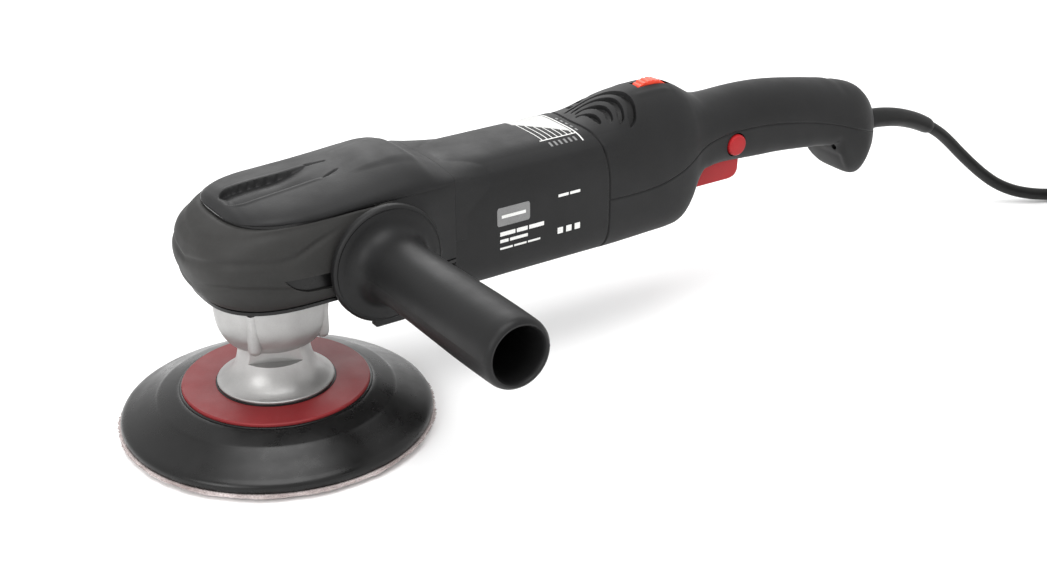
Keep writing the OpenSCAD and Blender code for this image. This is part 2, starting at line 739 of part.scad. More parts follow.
module trigger() {
  color([0.75, 0.12, 0.15]) difference() {
    translate([0, trigger_w, 0]) rotate([90, 0, 0]) linear_extrude(height = 2 * trigger_w) polygon([
      [247.4, 80], [247.4, 74], [247.6, 67.4], [249, 66.2], [272.6, 66.2], [276.2, 67.2],
      [278.2, 69.6], [278.4, 76], [278.4, 83], [257, 83], [255.6, 86], [252, 87.4], [248.8, 86]]);
    along_y(252, -20, 84, 1.55, 40);
  }
}

module trigger_pin() {
  color("silver") along_y(252, -12.5, 84, 1.5, 25);
}

module lock_button() {
  color([0.75, 0.12, 0.15]) {
    along_y(267, -21.4, 90.5, button_r, 6.4);
    along_y(267, -15.2, 90.5, 3, 3);
  }
}

module speed_dial() {
  color([0.85, 0.2, 0.12]) translate([dial_x, 0, dial_z]) rotate([90, 0, 0]) difference() {
    cylinder(r = dial_r, h = dial_t, center = true);
    cylinder(r = 2.05, h = dial_t + 2, center = true);
    for (a = [0 : 12 : 348]) rotate(a) translate([dial_r - 0.5, -0.45, -dial_t]) cube([2, 0.9, 2 * dial_t]);
  }
}

module dial_pin() {
  color("silver") along_y(dial_x, -7, dial_z, 2, 14);
}

module spindle_lock() {
  color([0.1, 0.1, 0.1]) {
    along_y(0, 13.4, 102.8, 3, 27);
    along_y(0, 40.2, 102.8, 4, 3.4);
  }
}

// ---------- cord and plug ----------

module strain_relief() {
  color([0.08, 0.08, 0.08]) difference() {
    sweep(CORD, 2, 8, [5.9, 5.8, 5.7, 5.5, 5.3, 5.1, 4.8]);
    sweep(CORD, 1, 9, [for (i = [1 : 9]) cord_d / 2 + 0.03]);
  }
}

// Tube along points a to b of a path with a radius for each point
module sweep(path, a, b, radii) {
  k = 12;
  function dir(i) = let (p = path[max(i - 1, 0)], q = path[min(i + 1, len(path) - 1)], v = q - p) v / norm(v);
  skin([for (i = [a : b]) let (d = dir(i), u = cross([0, 1, 0], d), uu = u / norm(u), v = cross(d, uu))
    [for (j = [0 : k - 1]) path[i] + radii[i - a] * (cos(360 * j / k) * uu + sin(360 * j / k) * v)]], true);
}

module cord_lead() {
  color([0.06, 0.06, 0.06]) sweep(CORD, 0, len(CORD) - 1, [for (p = CORD) cord_d / 2]);
}

module cord_coil() {
  color([0.06, 0.06, 0.06]) translate([coil_x, coil_y, 0]) rotate_extrude($fn = 96)
    translate([coil_d / 2, coil_h / 2]) union() {
      square([3 * cord_d, coil_h - 2 * coil_round], center = true);
      square([3 * cord_d - 2 * coil_round, coil_h], center = true);
      for (x = [-1, 1], y = [-1, 1])
        translate([x * (3 * cord_d / 2 - coil_round), y * (coil_h / 2 - coil_round)]) circle(r = coil_round);
    }
}

module cord_tie() {
  color("white") translate([coil_x - coil_d / 2, coil_y, coil_h / 2])
    difference() {
      translate([0, 0, 0.4]) cube([3 * cord_d + 2.4, 8, coil_h + 0.6], center = true);
      translate([0, 0, -2]) cube([3 * cord_d + 0.8, 10, coil_h + 4.4], center = true);
    }
}

module plug_body() {
  color([0.08, 0.08, 0.08]) translate([coil_x + plug_dx, coil_y + plug_dy, coil_h]) {
    hull() for (x = [-18, 18], y = [-17, 17]) translate([x, y, 0]) {
      cylinder(r = 5, h = 12, $fn = 32);
      cylinder(r = 3.6, h = 16, $fn = 32);
    }
    along_x(-36, 0, 8, 5, 14);
  }
}

module plug_pins() {
  color("gold") translate([coil_x + plug_dx, coil_y + plug_dy, coil_h + 16.05]) {
    translate([6, -4, 0]) cube([4, 8, 22.6]);
    for (y = [-11, 11]) translate([-11, y - 3.2, 0]) cube([4, 6.4, 17.6]);
  }
}

pad_hook_face();
pad_disc();
pad_stiffener();
pad_ring();
pad_hub();
spindle();
spindle_gear();
lock_ring();
layshaft();
bevel_wheel();
armature_shaft();
bevel_pinion();
armature_core();
armature_windings();
commutator();
cooling_fan();
gear_case();
base_plate();
spindle_flange();
flange_screws();
spindle_seal();
spindle_lower_bearing();
spindle_upper_bearing();
layshaft_lower_bearing();
layshaft_upper_bearing();
armature_front_bearing();
armature_rear_bearing();
head_gasket();
head_bumper();
head_top_cover();
gear_case_screws();
motor_housing();
stator_core();
field_windings();
fan_baffle();
rear_bearing_bracket();
brush_holders();
carbon_brushes();
brush_springs();
rear_housing_upper();
rear_housing_lower();
rear_housing_screws();
switch_module();
speed_controller();
cord_clamp();
side_handle_grip();
side_handle_stud();
trigger();
trigger_pin();
lock_button();
speed_dial();
dial_pin();
spindle_lock();
strain_relief();
cord_lead();
cord_coil();
cord_tie();
plug_body();
plug_pins();
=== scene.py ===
import math
import random

import bmesh
import bpy
import numpy as np
from mathutils import Matrix, Vector


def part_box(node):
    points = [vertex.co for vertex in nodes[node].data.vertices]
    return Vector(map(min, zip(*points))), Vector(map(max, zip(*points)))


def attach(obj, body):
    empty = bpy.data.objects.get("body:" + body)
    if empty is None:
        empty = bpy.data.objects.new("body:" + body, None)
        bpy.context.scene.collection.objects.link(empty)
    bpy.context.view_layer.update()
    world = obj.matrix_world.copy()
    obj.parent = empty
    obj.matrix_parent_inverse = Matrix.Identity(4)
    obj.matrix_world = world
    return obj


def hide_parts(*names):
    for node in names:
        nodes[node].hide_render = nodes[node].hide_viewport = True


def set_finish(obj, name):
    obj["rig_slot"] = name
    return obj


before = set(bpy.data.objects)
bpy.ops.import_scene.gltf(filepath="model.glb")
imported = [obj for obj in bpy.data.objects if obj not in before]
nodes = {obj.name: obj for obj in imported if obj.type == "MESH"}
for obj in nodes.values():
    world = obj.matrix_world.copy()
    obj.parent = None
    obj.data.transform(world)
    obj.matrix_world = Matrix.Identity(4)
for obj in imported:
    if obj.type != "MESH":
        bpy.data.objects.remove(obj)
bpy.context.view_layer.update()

MM = 0.001
random.seed(7)


# ---------- camera ----------

AZIMUTH, ELEVATION, ROLL = math.radians(-33.763), math.radians(25.627), math.radians(-0.116)
TARGET = Vector((0.1432, 0, 0.0338))
DISTANCE = 0.8824
SENSOR = 36
LENS = 58.28


def make_camera():
    """Looks from the front left and above, as a catalogue picture does."""
    cam = bpy.data.objects.new("camera", bpy.data.cameras.new("camera"))
    cam.data.sensor_width, cam.data.lens = SENSOR, LENS
    cam.data.clip_start, cam.data.clip_end = 0.01, 50
    back = Vector((math.sin(AZIMUTH) * math.cos(ELEVATION),
                   -math.cos(AZIMUTH) * math.cos(ELEVATION), math.sin(ELEVATION)))
    side = Vector((math.cos(AZIMUTH), math.sin(AZIMUTH), 0))
    above = back.cross(side)
    right = side * math.cos(ROLL) + above * math.sin(ROLL)
    up = -side * math.sin(ROLL) + above * math.cos(ROLL)
    turn = Matrix((right, up, back)).transposed()
    cam.matrix_world = Matrix.Translation(TARGET + back * DISTANCE) @ turn.to_4x4()
    bpy.context.scene.collection.objects.link(cam)
    bpy.context.scene.camera = cam


# ---------- cord ----------

CORD_D = 7.2
LEAD = [
    (377, 0, 75), (387, 0, 75), (396, 0, 74), (406, 0, 72), (416, 0, 69), (426, 0, 65),
    (436, 0, 60), (446, -0.5, 53.5), (455, -1, 46), (464, -2, 37.5), (473, -4, 29),
    (482, -6.5, 21), (492, -10, 13.5), (503, -15, 8), (515, -21, 5), (528, -28, 4),
    (541, -37, 4), (552, -48, 4), (562, -61, 4), (570, -75, 4), (575, -90, 4)]
COIL = (530, -107)
COIL_RADII = [47.2, 40, 32.8, 32.8, 40, 47.2, 47.2, 40, 32.8, 32.8, 40, 40]
COIL_TURNS = 10.25
CROSSOVER = 0.16
TAIL = [(512, -148.5, 26.5), (497, -142, 29.5), (484.5, -129, 32.5), (478.6, -113, 34.2),
        (479.4, -98, 35.4), (486.6, -84.6, 36.4), (496.5, -77.4, 36.8), (508, -75, 36.8)]


def smooth_path(points, per_span):
    """Points along a centripetal Catmull-Rom curve through the given ones."""
    p = [np.array(q, float) for q in points]
    p = [2 * p[0] - p[1]] + p + [2 * p[-1] - p[-2]]
    out = []
    for i in range(1, len(p) - 2):
        t = [0.0]
        for k in range(3):
            t.append(t[-1] + max(np.linalg.norm(p[i + k] - p[i + k - 1]), 1e-6) ** 0.5)
        for u in np.linspace(t[1], t[2], per_span, endpoint=False):
            a = [((t[k + 1] - u) * p[i + k - 1] + (u - t[k]) * p[i + k]) / (t[k + 1] - t[k])
                 for k in range(3)]
            b = [((t[k + 2] - u) * a[k] + (u - t[k]) * a[k + 1]) / (t[k + 2] - t[k]) for k in range(2)]
            out.append(((t[2] - u) * b[0] + (u - t[1]) * b[1]) / (t[2] - t[1]))
    return out + [p[-2]]


def curved(outline, per_span):
    """A smooth line of (u, v) points through the given ones."""
    return [(q[0], q[1]) for q in smooth_path([(u, v, 0) for u, v in outline], per_span)]


def coil_points():
    """Clockwise turns, three side by side in each layer, and each layer on the one below."""
    out, step = [], 72
    for i in range(int(COIL_TURNS * step) + 1):
        turn = i / step
        n = min(int(turn), len(COIL_RADII) - 2)
        t = max(0.0, (turn - n - 1 + CROSSOVER) / CROSSOVER)
        t = t * t * (3 - 2 * t)
        r = COIL_RADII[n] + (COIL_RADII[n + 1] - COIL_RADII[n]) * t
        z = 3.9 + 7.1 * (n // 3 + ((n + 1) // 3 - n // 3) * t)
        angle = -2 * math.pi * turn
        out.append((COIL[0] + r * math.cos(angle), COIL[1] + r * math.sin(angle), z))
    return out


def rings_along(path, radii, count):
    """Rings of points round a path, carried along it without twist."""
    p = np.array(path, float)
    along = np.gradient(p, axis=0)
    along /= np.linalg.norm(along, axis=1, keepdims=True)
    across = np.cross(along[0], (0, 0, 1))
    a = np.linspace(0, 2 * math.pi, count, endpoint=False)
    out = []
    for q, d, r in zip(p, along, radii):
        across = across - d * (across @ d)
        across /= np.linalg.norm(across)
        over = np.cross(d, across)
        out.append(q + r * (np.outer(np.cos(a), across) + np.outer(np.sin(a), over)))
    return np.array(out)


def make_cord(sides=20):
    """One lead from the guard to the floor, round the coil and up into the plug."""
    coil = coil_points()
    lead = smooth_path(LEAD + coil[:3], 8)[:-16]
    tail = smooth_path(coil[-3:] + TAIL, 8)[16:]
    line = lead + coil[:-1] + tail
    rings = rings_along(line, [CORD_D / 2] * len(line), sides)
    last = (len(line) - 1) * sides
    faces = grid_faces(len(line), sides, True)
    faces += [tuple(range(sides)), tuple(range(last + sides - 1, last - 1, -1))]
    cord = piece("mains_cord", rings.reshape(-1, 3), faces, "housing", "cord_rubber",
                 ["cord_lead", "cord_coil"], 50)
    return cord, [Vector(q) * MM for q in line]


# ---------- mesh helpers ----------

def piece(name, points, faces, body, slot, replaces=(), crease=35):
    """A mesh piece in millimetres that rides on a body and takes a slot's finish."""
    mesh = bpy.data.meshes.new(name)
    mesh.from_pydata([tuple(np.array(p, float) * MM) for p in points], [], faces)
    mesh.validate()
    ob = bpy.data.objects.new(name, mesh)
    bpy.context.scene.collection.objects.link(ob)
    clean(ob, crease)
    mesh.materials.append(SLOTS[slot])
    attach(ob, body)
    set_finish(ob, slot)
    if replaces:
        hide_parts(*replaces)
    return ob


def clean(ob, crease=35):
    """Joins doubled points, points the faces outward, and shades by angle."""
    bm = bmesh.new()
    bm.from_mesh(ob.data)
    bmesh.ops.remove_doubles(bm, verts=bm.verts, dist=1e-7)
    bmesh.ops.dissolve_degenerate(bm, edges=bm.edges, dist=1e-8)
    bmesh.ops.recalc_face_normals(bm, faces=bm.faces)
    for f in bm.faces:
        f.smooth = True
    for e in bm.edges:
        e.smooth = len(e.link_faces) == 2 and e.calc_face_angle(0) < math.radians(crease)
    bm.to_mesh(ob.data)
    bm.free()


def apply(ob):
    """Bakes an object's modifiers into its mesh."""
    bpy.context.view_layer.update()
    done = bpy.data.meshes.new_from_object(ob.evaluated_get(bpy.context.evaluated_depsgraph_get()))
    ob.modifiers.clear()
    ob.data = done


def bevelled(ob, width, segments=3, angle=30, crease=40):
    """Rounds the piece's edges."""
    m = ob.modifiers.new("round", "BEVEL")
    m.width, m.segments = width * MM, segments
    m.limit_method, m.angle_limit = "ANGLE", math.radians(angle)
    apply(ob)
    clean(ob, crease)
    return ob


def cut(ob, points, faces, crease=35):
    """Takes a closed shape, in millimetres, out of a piece."""
    mesh = bpy.data.meshes.new("cutter")
    mesh.from_pydata([tuple(np.array(p, float) * MM) for p in points], [], faces)
    cutter = bpy.data.objects.new("cutter", mesh)
    bpy.context.scene.collection.objects.link(cutter)
    clean(cutter)
    m = ob.modifiers.new("cut", "BOOLEAN")
    m.operation, m.solver, m.object = "DIFFERENCE", "EXACT", cutter
    apply(ob)
    bpy.data.objects.remove(cutter)
    clean(ob, crease)
    return ob


def prism(outline, low, high, axis):
    """A closed outline drawn out along an axis: its points are (y, z) along x, and (x, z) along y."""
    def at(u, v, w):
        return (w, u, v) if axis == "x" else (u, w, v)
    n = len(outline)
    points = [at(u, v, low) for u, v in outline] + [at(u, v, high) for u, v in outline]
    faces = [tuple(range(n)), tuple(range(2 * n - 1, n - 1, -1))]
    faces += [(i, (i + 1) % n, n + (i + 1) % n, n + i) for i in range(n)]
    return points, faces


def circle(cu, cv, r, n=48):
    turns = [2 * math.pi * i / n for i in range(n)]
    return [(cu + r * math.cos(a), cv + r * math.sin(a)) for a in turns]


def rounded(outline, radius, steps=5):
    """The outline with its corners rounded; radius is one number or one for each corner."""
    out, n = [], len(outline)
    for i in range(n):
        p, q, s = (np.array(outline[(i + k) % n], float) for k in (-1, 0, 1))
        r = radius[i] if isinstance(radius, (list, tuple)) else radius
        a, b = (p - q) / np.linalg.norm(p - q), (s - q) / np.linalg.norm(s - q)
        r = min(r, 0.48 * np.linalg.norm(p - q), 0.48 * np.linalg.norm(s - q))
        for k in range(steps + 1):
            t = k / steps
            out.append(tuple((1 - t) ** 2 * (q + a * r) + 2 * t * (1 - t) * q + t * t * (q + b * r)))
    return out


def lathe(profile, place, turns=144, wave=None):
    """A closed profile of (r, h) points turned about an axis; place turns (u, v, h) into a point."""
    points, n = [], len(profile)
    for j in range(turns):
        angle = 2 * math.pi * j / turns
        for r, h in profile:
            if wave:
                r, h = wave(r, h, angle)
            points.append(place(r * math.cos(angle), r * math.sin(angle), h))
    faces = [(j * n + i, j * n + (i + 1) % n, (j + 1) % turns * n + (i + 1) % n, (j + 1) % turns * n + i)
             for j in range(turns) for i in range(n)]
    return points, faces


def holed(outer, inner, low, high):
    """A plate between two Y values, with an outline and a hole of as many (x, z) points."""
    n = len(outer)
    points = [(u, y, v) for y in (low, high) for u, v in outer + inner]
    faces = []
    for i in range(n):
        j = (i + 1) % n
        faces += [(i, j, n + j, n + i), (2 * n + i, 3 * n + i, 3 * n + j, 2 * n + j),
                  (i, 2 * n + i, 2 * n + j, j), (n + i, n + j, 3 * n + j, 3 * n + i)]
    return points, faces


def upright(x, y):
    return lambda u, v, h: (x + u, y + v, h)


def grid_faces(rows, columns, closed=False):
    last = columns if closed else columns - 1
    return [(i * columns + j, i * columns + (j + 1) % columns,
             (i + 1) * columns + (j + 1) % columns, (i + 1) * columns + j)
            for i in range(rows - 1) for j in range(last)]


def normals(p, closed, middle, towards):
    """Unit normals of a grid of points, turned so that the one at middle points towards a direction."""
    du = np.gradient(p, axis=0)
    if closed:
        dv = (np.roll(p, -1, 1) - np.roll(p, 1, 1)) / 2
    else:
        dv = np.gradient(p, axis=1)
    n = np.cross(du, dv)
    n = n / np.maximum(np.linalg.norm(n, axis=2, keepdims=True), 1e-9)
    return n if n[middle] @ np.array(towards) > 0 else -n


def shell(name, outer, inner, body, slot, replaces=(), closed=False, crease=35):
    """A solid between an outer and an inner grid of points, closed all round."""
    rows, columns = outer.shape[:2]
    m = rows * columns
    face = grid_faces(rows, columns, closed)
    faces = face + [tuple(m + i for i in reversed(f)) for f in face]
    last = columns if closed else columns - 1
    for i in (0, rows - 1):
        faces += [(i * columns + j, m + i * columns + j, m + i * columns + (j + 1) % columns,
                   i * columns + (j + 1) % columns) for j in range(last)]
    if not closed:
        for j in (0, columns - 1):
            faces += [(i * columns + j, (i + 1) * columns + j, m + (i + 1) * columns + j, m + i * columns + j)
                      for i in range(rows - 1)]
    points = np.concatenate([outer.reshape(-1, 3), inner.reshape(-1, 3)])
    return piece(name, points, faces, body, slot, replaces, crease)


def walled(name, p, n, wall, slot, replaces=(), closed=False, crease=35):
    """A housing piece with a wall's thickness behind its grid of outer points."""
    return shell(name, p, p - n * wall, "housing", slot, replaces, closed, crease)


def along_rows(grid):
    """The distance of each point along its row of a grid."""
    steps = np.linalg.norm(np.diff(grid, axis=1), axis=2)
    return np.concatenate([np.zeros((grid.shape[0], 1)), np.cumsum(steps, axis=1)], axis=1)


def rows_at(table, x):
    """A table's row at x, on a smooth curve through its rows."""
    t = np.array(table, float)
    xs = t[:, 0]
    slope = np.gradient(t, xs, axis=0)
    i = int(np.clip(np.searchsorted(xs, x) - 1, 0, len(xs) - 2))
    h = xs[i + 1] - xs[i]
    u = min(max((x - xs[i]) / h, 0), 1)
    return ((2 * u ** 3 - 3 * u ** 2 + 1) * t[i] + (u ** 3 - 2 * u ** 2 + u) * h * slope[i]
            + (3 * u ** 2 - 2 * u ** 3) * t[i + 1] + (u ** 3 - u ** 2) * h * slope[i + 1])


def resample(line, fractions):
    """Points at fractions of a line's length."""
    along = np.concatenate([[0], np.cumsum(np.linalg.norm(np.diff(line, axis=0), axis=1))])
    at = np.array(fractions) * along[-1]
    return np.stack([np.interp(at, along, line[:, k]) for k in range(line.shape[1])], axis=1)


def spacing(n, ends=(0.0, 0.002, 0.004, 0.0065, 0.01, 0.015, 0.022)):
    """Fractions from 0 to 1, close together at both ends."""
    middle = np.linspace(0.03, 0.97, n)
    return np.concatenate([ends, middle, 1 - np.array(ends[::-1])])


def step(x, low, high):
    t = np.clip((x - low) / (high - low), 0, 1)
    return t * t * (3 - 2 * t)


def bump(x, centre, width):
    return np.exp(-((x - centre) / width) ** 2)


# ---------- materials ----------

class Nodes:
    """A node material being built."""

    def __init__(self, name):
        self.mat = bpy.data.materials.new(name)
        self.mat.use_nodes = True
        self.tree = self.mat.node_tree
        self.shader = self.tree.nodes["Principled BSDF"]
        self.coords = self.tree.nodes.new("ShaderNodeTexCoord").outputs["Object"]

    def add(self, kind, links=None, values=None, **settings):
        node = self.tree.nodes.new(kind)
        for k, v in settings.items():
            setattr(node, k, v)
        for k, v in (values or {}).items():
            node.inputs[k].default_value = v
        for k, v in (links or {}).items():
            self.tree.links.new(v, node.inputs[k])
        return node

    def noise(self, scale, detail=3, rough=0.5, vector=None):
        return self.add("ShaderNodeTexNoise", {"Vector": vector or self.coords},
                        {"Scale": scale, "Detail": detail, "Roughness": rough}).outputs["Fac"]

    def cells(self, scale, feature="F1", vector=None):
        return self.add("ShaderNodeTexVoronoi", {"Vector": vector or self.coords},
                        {"Scale": scale}, feature=feature).outputs["Distance"]

    def bands(self, scale, direction="X", distortion=0.0, profile="SIN"):
        return self.add("ShaderNodeTexWave", {"Vector": self.coords},
                        {"Scale": scale, "Distortion": distortion, "Detail": 2},
                        bands_direction=direction, wave_profile=profile).outputs["Fac"]

    def span(self, value, low, high, out_low, out_high):
        return self.add("ShaderNodeMapRange", {"Value": value},
                        {"From Min": low, "From Max": high, "To Min": out_low, "To Max": out_high}).outputs[0]

    def mix(self, fac, a, b):
        node = self.add("ShaderNodeMix", data_type="RGBA")
        self.tree.links.new(fac, node.inputs[0])
        for socket, value in ((node.inputs[6], a), (node.inputs[7], b)):
            if isinstance(value, tuple):
                socket.default_value = (*value, 1)
            else:
                self.tree.links.new(value, socket)
        return node.outputs[2]

    def maths(self, operation, a, b):
        node = self.add("ShaderNodeMath", operation=operation)
        for i, v in enumerate((a, b)):
            if isinstance(v, (int, float)):
                node.inputs[i].default_value = v
            else:
                self.tree.links.new(v, node.inputs[i])
        return node.outputs[0]

    def relief(self, *layers):
        """Stacks (height, depth in millimetres) layers of bump."""
        last = None
        for height, depth in layers:
            links = {"Height": height}
            if last is not None:
                links["Normal"] = last
            last = self.add("ShaderNodeBump", links, {"Distance": depth * MM, "Strength": 1.0}).outputs[0]
        self.tree.links.new(last, self.shader.inputs["Normal"])

    def finish(self, colour, rough, metallic=0.0, **sockets):
        for name, value in (("Base Color", colour), ("Roughness", rough)):
            if isinstance(value, (tuple, float)):
                self.shader.inputs[name].default_value = (*value, 1) if isinstance(value, tuple) else value
            else:
                self.tree.links.new(value, self.shader.inputs[name])
        self.shader.inputs["Metallic"].default_value = metallic
        for name, value in sockets.items():
            self.shader.inputs[name.replace("_", " ")].default_value = value
        return self.mat


def shade(colour, k):
    return tuple(c * k for c in colour)


def worn(n, colour, edge, amount=0.5):
    """Colour that goes lighter where edges stick out, in broken patches."""
    point = n.add("ShaderNodeNewGeometry").outputs["Pointiness"]
    rub = n.span(point, 0.53, 0.62, 0.0, amount)
    rub = n.maths("MULTIPLY", rub, n.span(n.noise(420, 4), 0.4, 0.65, 0.2, 1.0))
    return n.mix(rub, colour, edge)


def moulded(name, colour, rough=0.45, grain=1500, depth=0.018, spread=0.16, speck=0.02, edge=1.7, **sockets):
    """Moulded plastic: fine spark-eroded grain, slow drift in colour and gloss, and a little lint."""
    n = Nodes(name)
    drift = n.noise(26, 4, 0.55)
    base = n.mix(n.span(drift, 0.3, 0.7, 0, 1), shade(colour, 1 - spread), shade(colour, 1 + spread))
    fine = n.noise(grain, 3, 0.6)
    base = n.mix(n.span(fine, 0.35, 0.7, 0, 0.28), base, shade(colour, 1.45))
    lint = n.span(n.noise(2600, 2, 0.7), 0.72, 0.78, 0, speck * 10)
    base = n.mix(lint, base, shade(colour, 2.6))
    base = worn(n, base, shade(colour, edge), 0.4)
    gloss = n.span(n.noise(60, 5, 0.6), 0.25, 0.75, rough - 0.07, rough + 0.07)
    n.relief((n.noise(38, 2), depth * 3), (n.cells(grain * 0.8), depth), (fine, depth))
    return n.finish(base, gloss, **sockets)


def rubber(name, colour, rough=0.5, grain=900, depth=0.012, dust=0.35, **sockets):
    """Moulded rubber: soft mottling, a faint bloom of dust, and flow marks."""
    n = Nodes(name)
    cloud = n.noise(34, 5, 0.6)
    base = n.mix(n.span(cloud, 0.3, 0.72, 0, 1), shade(colour, 0.82), shade(colour, 1.2))
    bloom = n.span(n.noise(900, 6, 0.7), 0.5, 0.9, 0, dust)
    base = n.mix(bloom, base, tuple(c * 1.6 + 0.006 for c in colour))
    gloss = n.span(n.noise(75, 6, 0.62), 0.25, 0.75, rough - 0.09, rough + 0.1)
    n.relief((n.noise(46, 2), depth * 4), (n.noise(grain, 4, 0.6), depth))
    return n.finish(base, gloss, **sockets)


def cast(name, colour, rough=0.42, metallic=0.75):
    """Cast alloy: blasted grain, faint tool rings, and rubbed edges."""
    n = Nodes(name)
    cloud = n.noise(40, 5, 0.6)
    base = n.mix(n.span(cloud, 0.28, 0.74, 0, 1), shade(colour, 0.86), shade(colour, 1.08))
    pits = n.span(n.cells(1300), 0.0, 0.35, 0.35, 0.0)
    base = n.mix(pits, base, shade(colour, 0.6))
    base = worn(n, base, shade(colour, 1.3), 0.7)
    gloss = n.span(n.noise(130, 5, 0.6), 0.25, 0.75, rough - 0.08, rough + 0.1)
    n.relief((n.noise(70, 3), 0.05), (n.noise(1700, 3, 0.6), 0.02), (n.bands(240, "Z", 1.5), 0.006))
    return n.finish(base, gloss, metallic)


def machined(name, colour, rough=0.26, axis="X", metallic=1.0):
    """Turned or ground metal: fine tool lines along one direction, and oil stains."""
    n = Nodes(name)
    lines = n.bands(900, axis, 2.0, "SAW")
    stain = n.span(n.noise(90, 5, 0.6), 0.35, 0.7, 0, 0.6)
    base = n.mix(stain, colour, shade(colour, 0.7))
    base = n.mix(n.span(lines, 0, 1, 0, 0.25), base, shade(colour, 0.8))
    gloss = n.span(n.noise(300, 4), 0.3, 0.7, rough - 0.06, rough + 0.12)
    n.relief((lines, 0.004), (n.noise(500, 3), 0.01))
    return n.finish(base, gloss, metallic)


def stacked(name, colour, gap, pitch, axis, metallic, rough):
    """Layers side by side: steel sheets in a core, or turns of wire in a winding."""
    n = Nodes(name)
    turn = n.bands(math.pi / 10 / (pitch * MM) * 0.318, axis, 0.3)
    base = n.mix(n.span(turn, 0.1, 0.5, 0, 1), gap, colour)
    base = n.mix(n.span(n.noise(160, 5), 0.4, 0.7, 0, 0.5), base, shade(colour, 0.6))
    gloss = n.span(n.noise(220, 4), 0.3, 0.7, rough - 0.08, rough + 0.1)
    n.relief((turn, pitch * 0.2), (n.noise(900, 3), 0.01))
    return n.finish(base, gloss, metallic)


def looped(name):
    """Hook tape: a dense nap of short hooks, greyed with wax and lint."""
    n = Nodes(name)
    nap = n.cells(1100)
    patch = n.noise(48, 5, 0.65)
    base = n.mix(n.span(patch, 0.35, 0.68, 0, 1), (0.30, 0.235, 0.225), (0.60, 0.53, 0.52))
    base = n.mix(n.span(nap, 0.1, 0.6, 0.5, 0), base, (0.16, 0.12, 0.115))
    gloss = n.span(patch, 0.3, 0.7, 0.7, 0.92)
    n.relief((nap, 0.3), (n.noise(2200, 4), 0.08))
    n.shader.inputs["Sheen Weight"].default_value = 0.3
    return n.finish(base, gloss)


def board(name):
    """Circuit board: solder mask over copper tracks, with bare pads."""
    n = Nodes(name)
    track = n.add("ShaderNodeTexBrick", {"Vector": n.coords},
                  {"Scale": 260, "Mortar Size": 0.03, "Color1": (0, 0, 0, 1), "Color2": (0.2, 0.2, 0.2, 1),
                   "Mortar": (1, 1, 1, 1)}).outputs["Fac"]
    base = n.mix(track, (0.012, 0.075, 0.03), (0.03, 0.16, 0.06))
    pads = n.span(n.cells(420), 0.0, 0.16, 1.0, 0.0)
    base = n.mix(pads, base, (0.55, 0.5, 0.42))
    gloss = n.span(n.noise(300, 4), 0.3, 0.7, 0.25, 0.42)
    n.relief((track, 0.03), (n.noise(700, 3), 0.01))
    return n.finish(base, gloss)


def ink(name, colour, rough=0.5):
    """Pad-printed ink, thin and slightly broken where it lies over the grain below."""
    n = Nodes(name)
    thin = n.span(n.noise(1900, 3, 0.6), 0.3, 0.55, 0.5, 0.0)
    base = n.mix(thin, colour, shade(colour, 0.55))
    base = n.mix(n.span(n.noise(120, 4), 0.4, 0.7, 0, 0.35), base, shade(colour, 0.8))
    gloss = n.span(n.noise(400, 4), 0.3, 0.7, rough - 0.08, rough + 0.1)
    n.relief((n.noise(1500, 3), 0.012))
    return n.finish(base, gloss)


SLOTS = {
    "hook_loop": looped("hook_nap"),
    "pad_rubber": rubber("gloss_rubber", (0.005, 0.0049, 0.0049), 0.3, dust=0.06, Specular_IOR_Level=0.3),
    "stiffener": moulded("glass_filled", (0.16, 0.15, 0.11), 0.5, grain=700, depth=0.03, spread=0.3),
    "red_ring": moulded("matt_red", (0.17, 0.012, 0.014), 0.5, grain=1200, depth=0.014, edge=1.3,
                        Specular_IOR_Level=0.3),
    "cast_alloy": cast("blasted_alloy", (0.40, 0.396, 0.39)),
    "steel": machined("ground_steel", (0.52, 0.51, 0.50)),
    "screw_steel": machined("dark_steel", (0.12, 0.12, 0.125), 0.36, "Z"),
    "laminations": stacked("sheet_stack", (0.30, 0.30, 0.31), (0.05, 0.05, 0.05), 0.5, "X", 0.9, 0.4),
    "copper": stacked("wound_wire", (0.62, 0.25, 0.10), (0.09, 0.03, 0.015), 0.6, "DIAGONAL", 0.8, 0.35),
    "brass": machined("drawn_brass", (0.66, 0.47, 0.19), 0.3, "Z"),
    "carbon": rubber("pressed_carbon", (0.02, 0.02, 0.021), 0.6, grain=1600, depth=0.02),
    "fan_plastic": moulded("fan_nylon", (0.05, 0.05, 0.052), 0.5),
    "circuit": board("circuit_board"),
    "bumper_rubber": rubber("grey_overmould", (0.024, 0.0235, 0.0225), 0.56, grain=1300, depth=0.02, dust=0.3,
                            Specular_IOR_Level=0.22),
    "body_plastic": moulded("charcoal_nylon", (0.0115, 0.0115, 0.0118), 0.5, Specular_IOR_Level=0.2),
    "grip_plastic": moulded("dark_grip", (0.008, 0.008, 0.0082), 0.44, grain=1300, depth=0.010,
                            Specular_IOR_Level=0.22),
    "red_plastic": moulded("red_control", (0.32, 0.010, 0.013), 0.4, grain=1700, depth=0.008, edge=1.2,
                           Specular_IOR_Level=0.25),
    "dial_red": moulded("dial_orange_red", (0.78, 0.055, 0.022), 0.38, grain=1700, depth=0.008, edge=1.2),
    "cord_rubber": rubber("cord_jacket", (0.008, 0.008, 0.008), 0.46, grain=1500, depth=0.01,
                          Specular_IOR_Level=0.22),
}
WHITE_INK = ink("white_ink", (0.78, 0.78, 0.76))
SILVER_INK = ink("silver_ink", (0.50, 0.50, 0.49), 0.36)
GREY_INK = ink("grey_ink", (0.20, 0.20, 0.20))


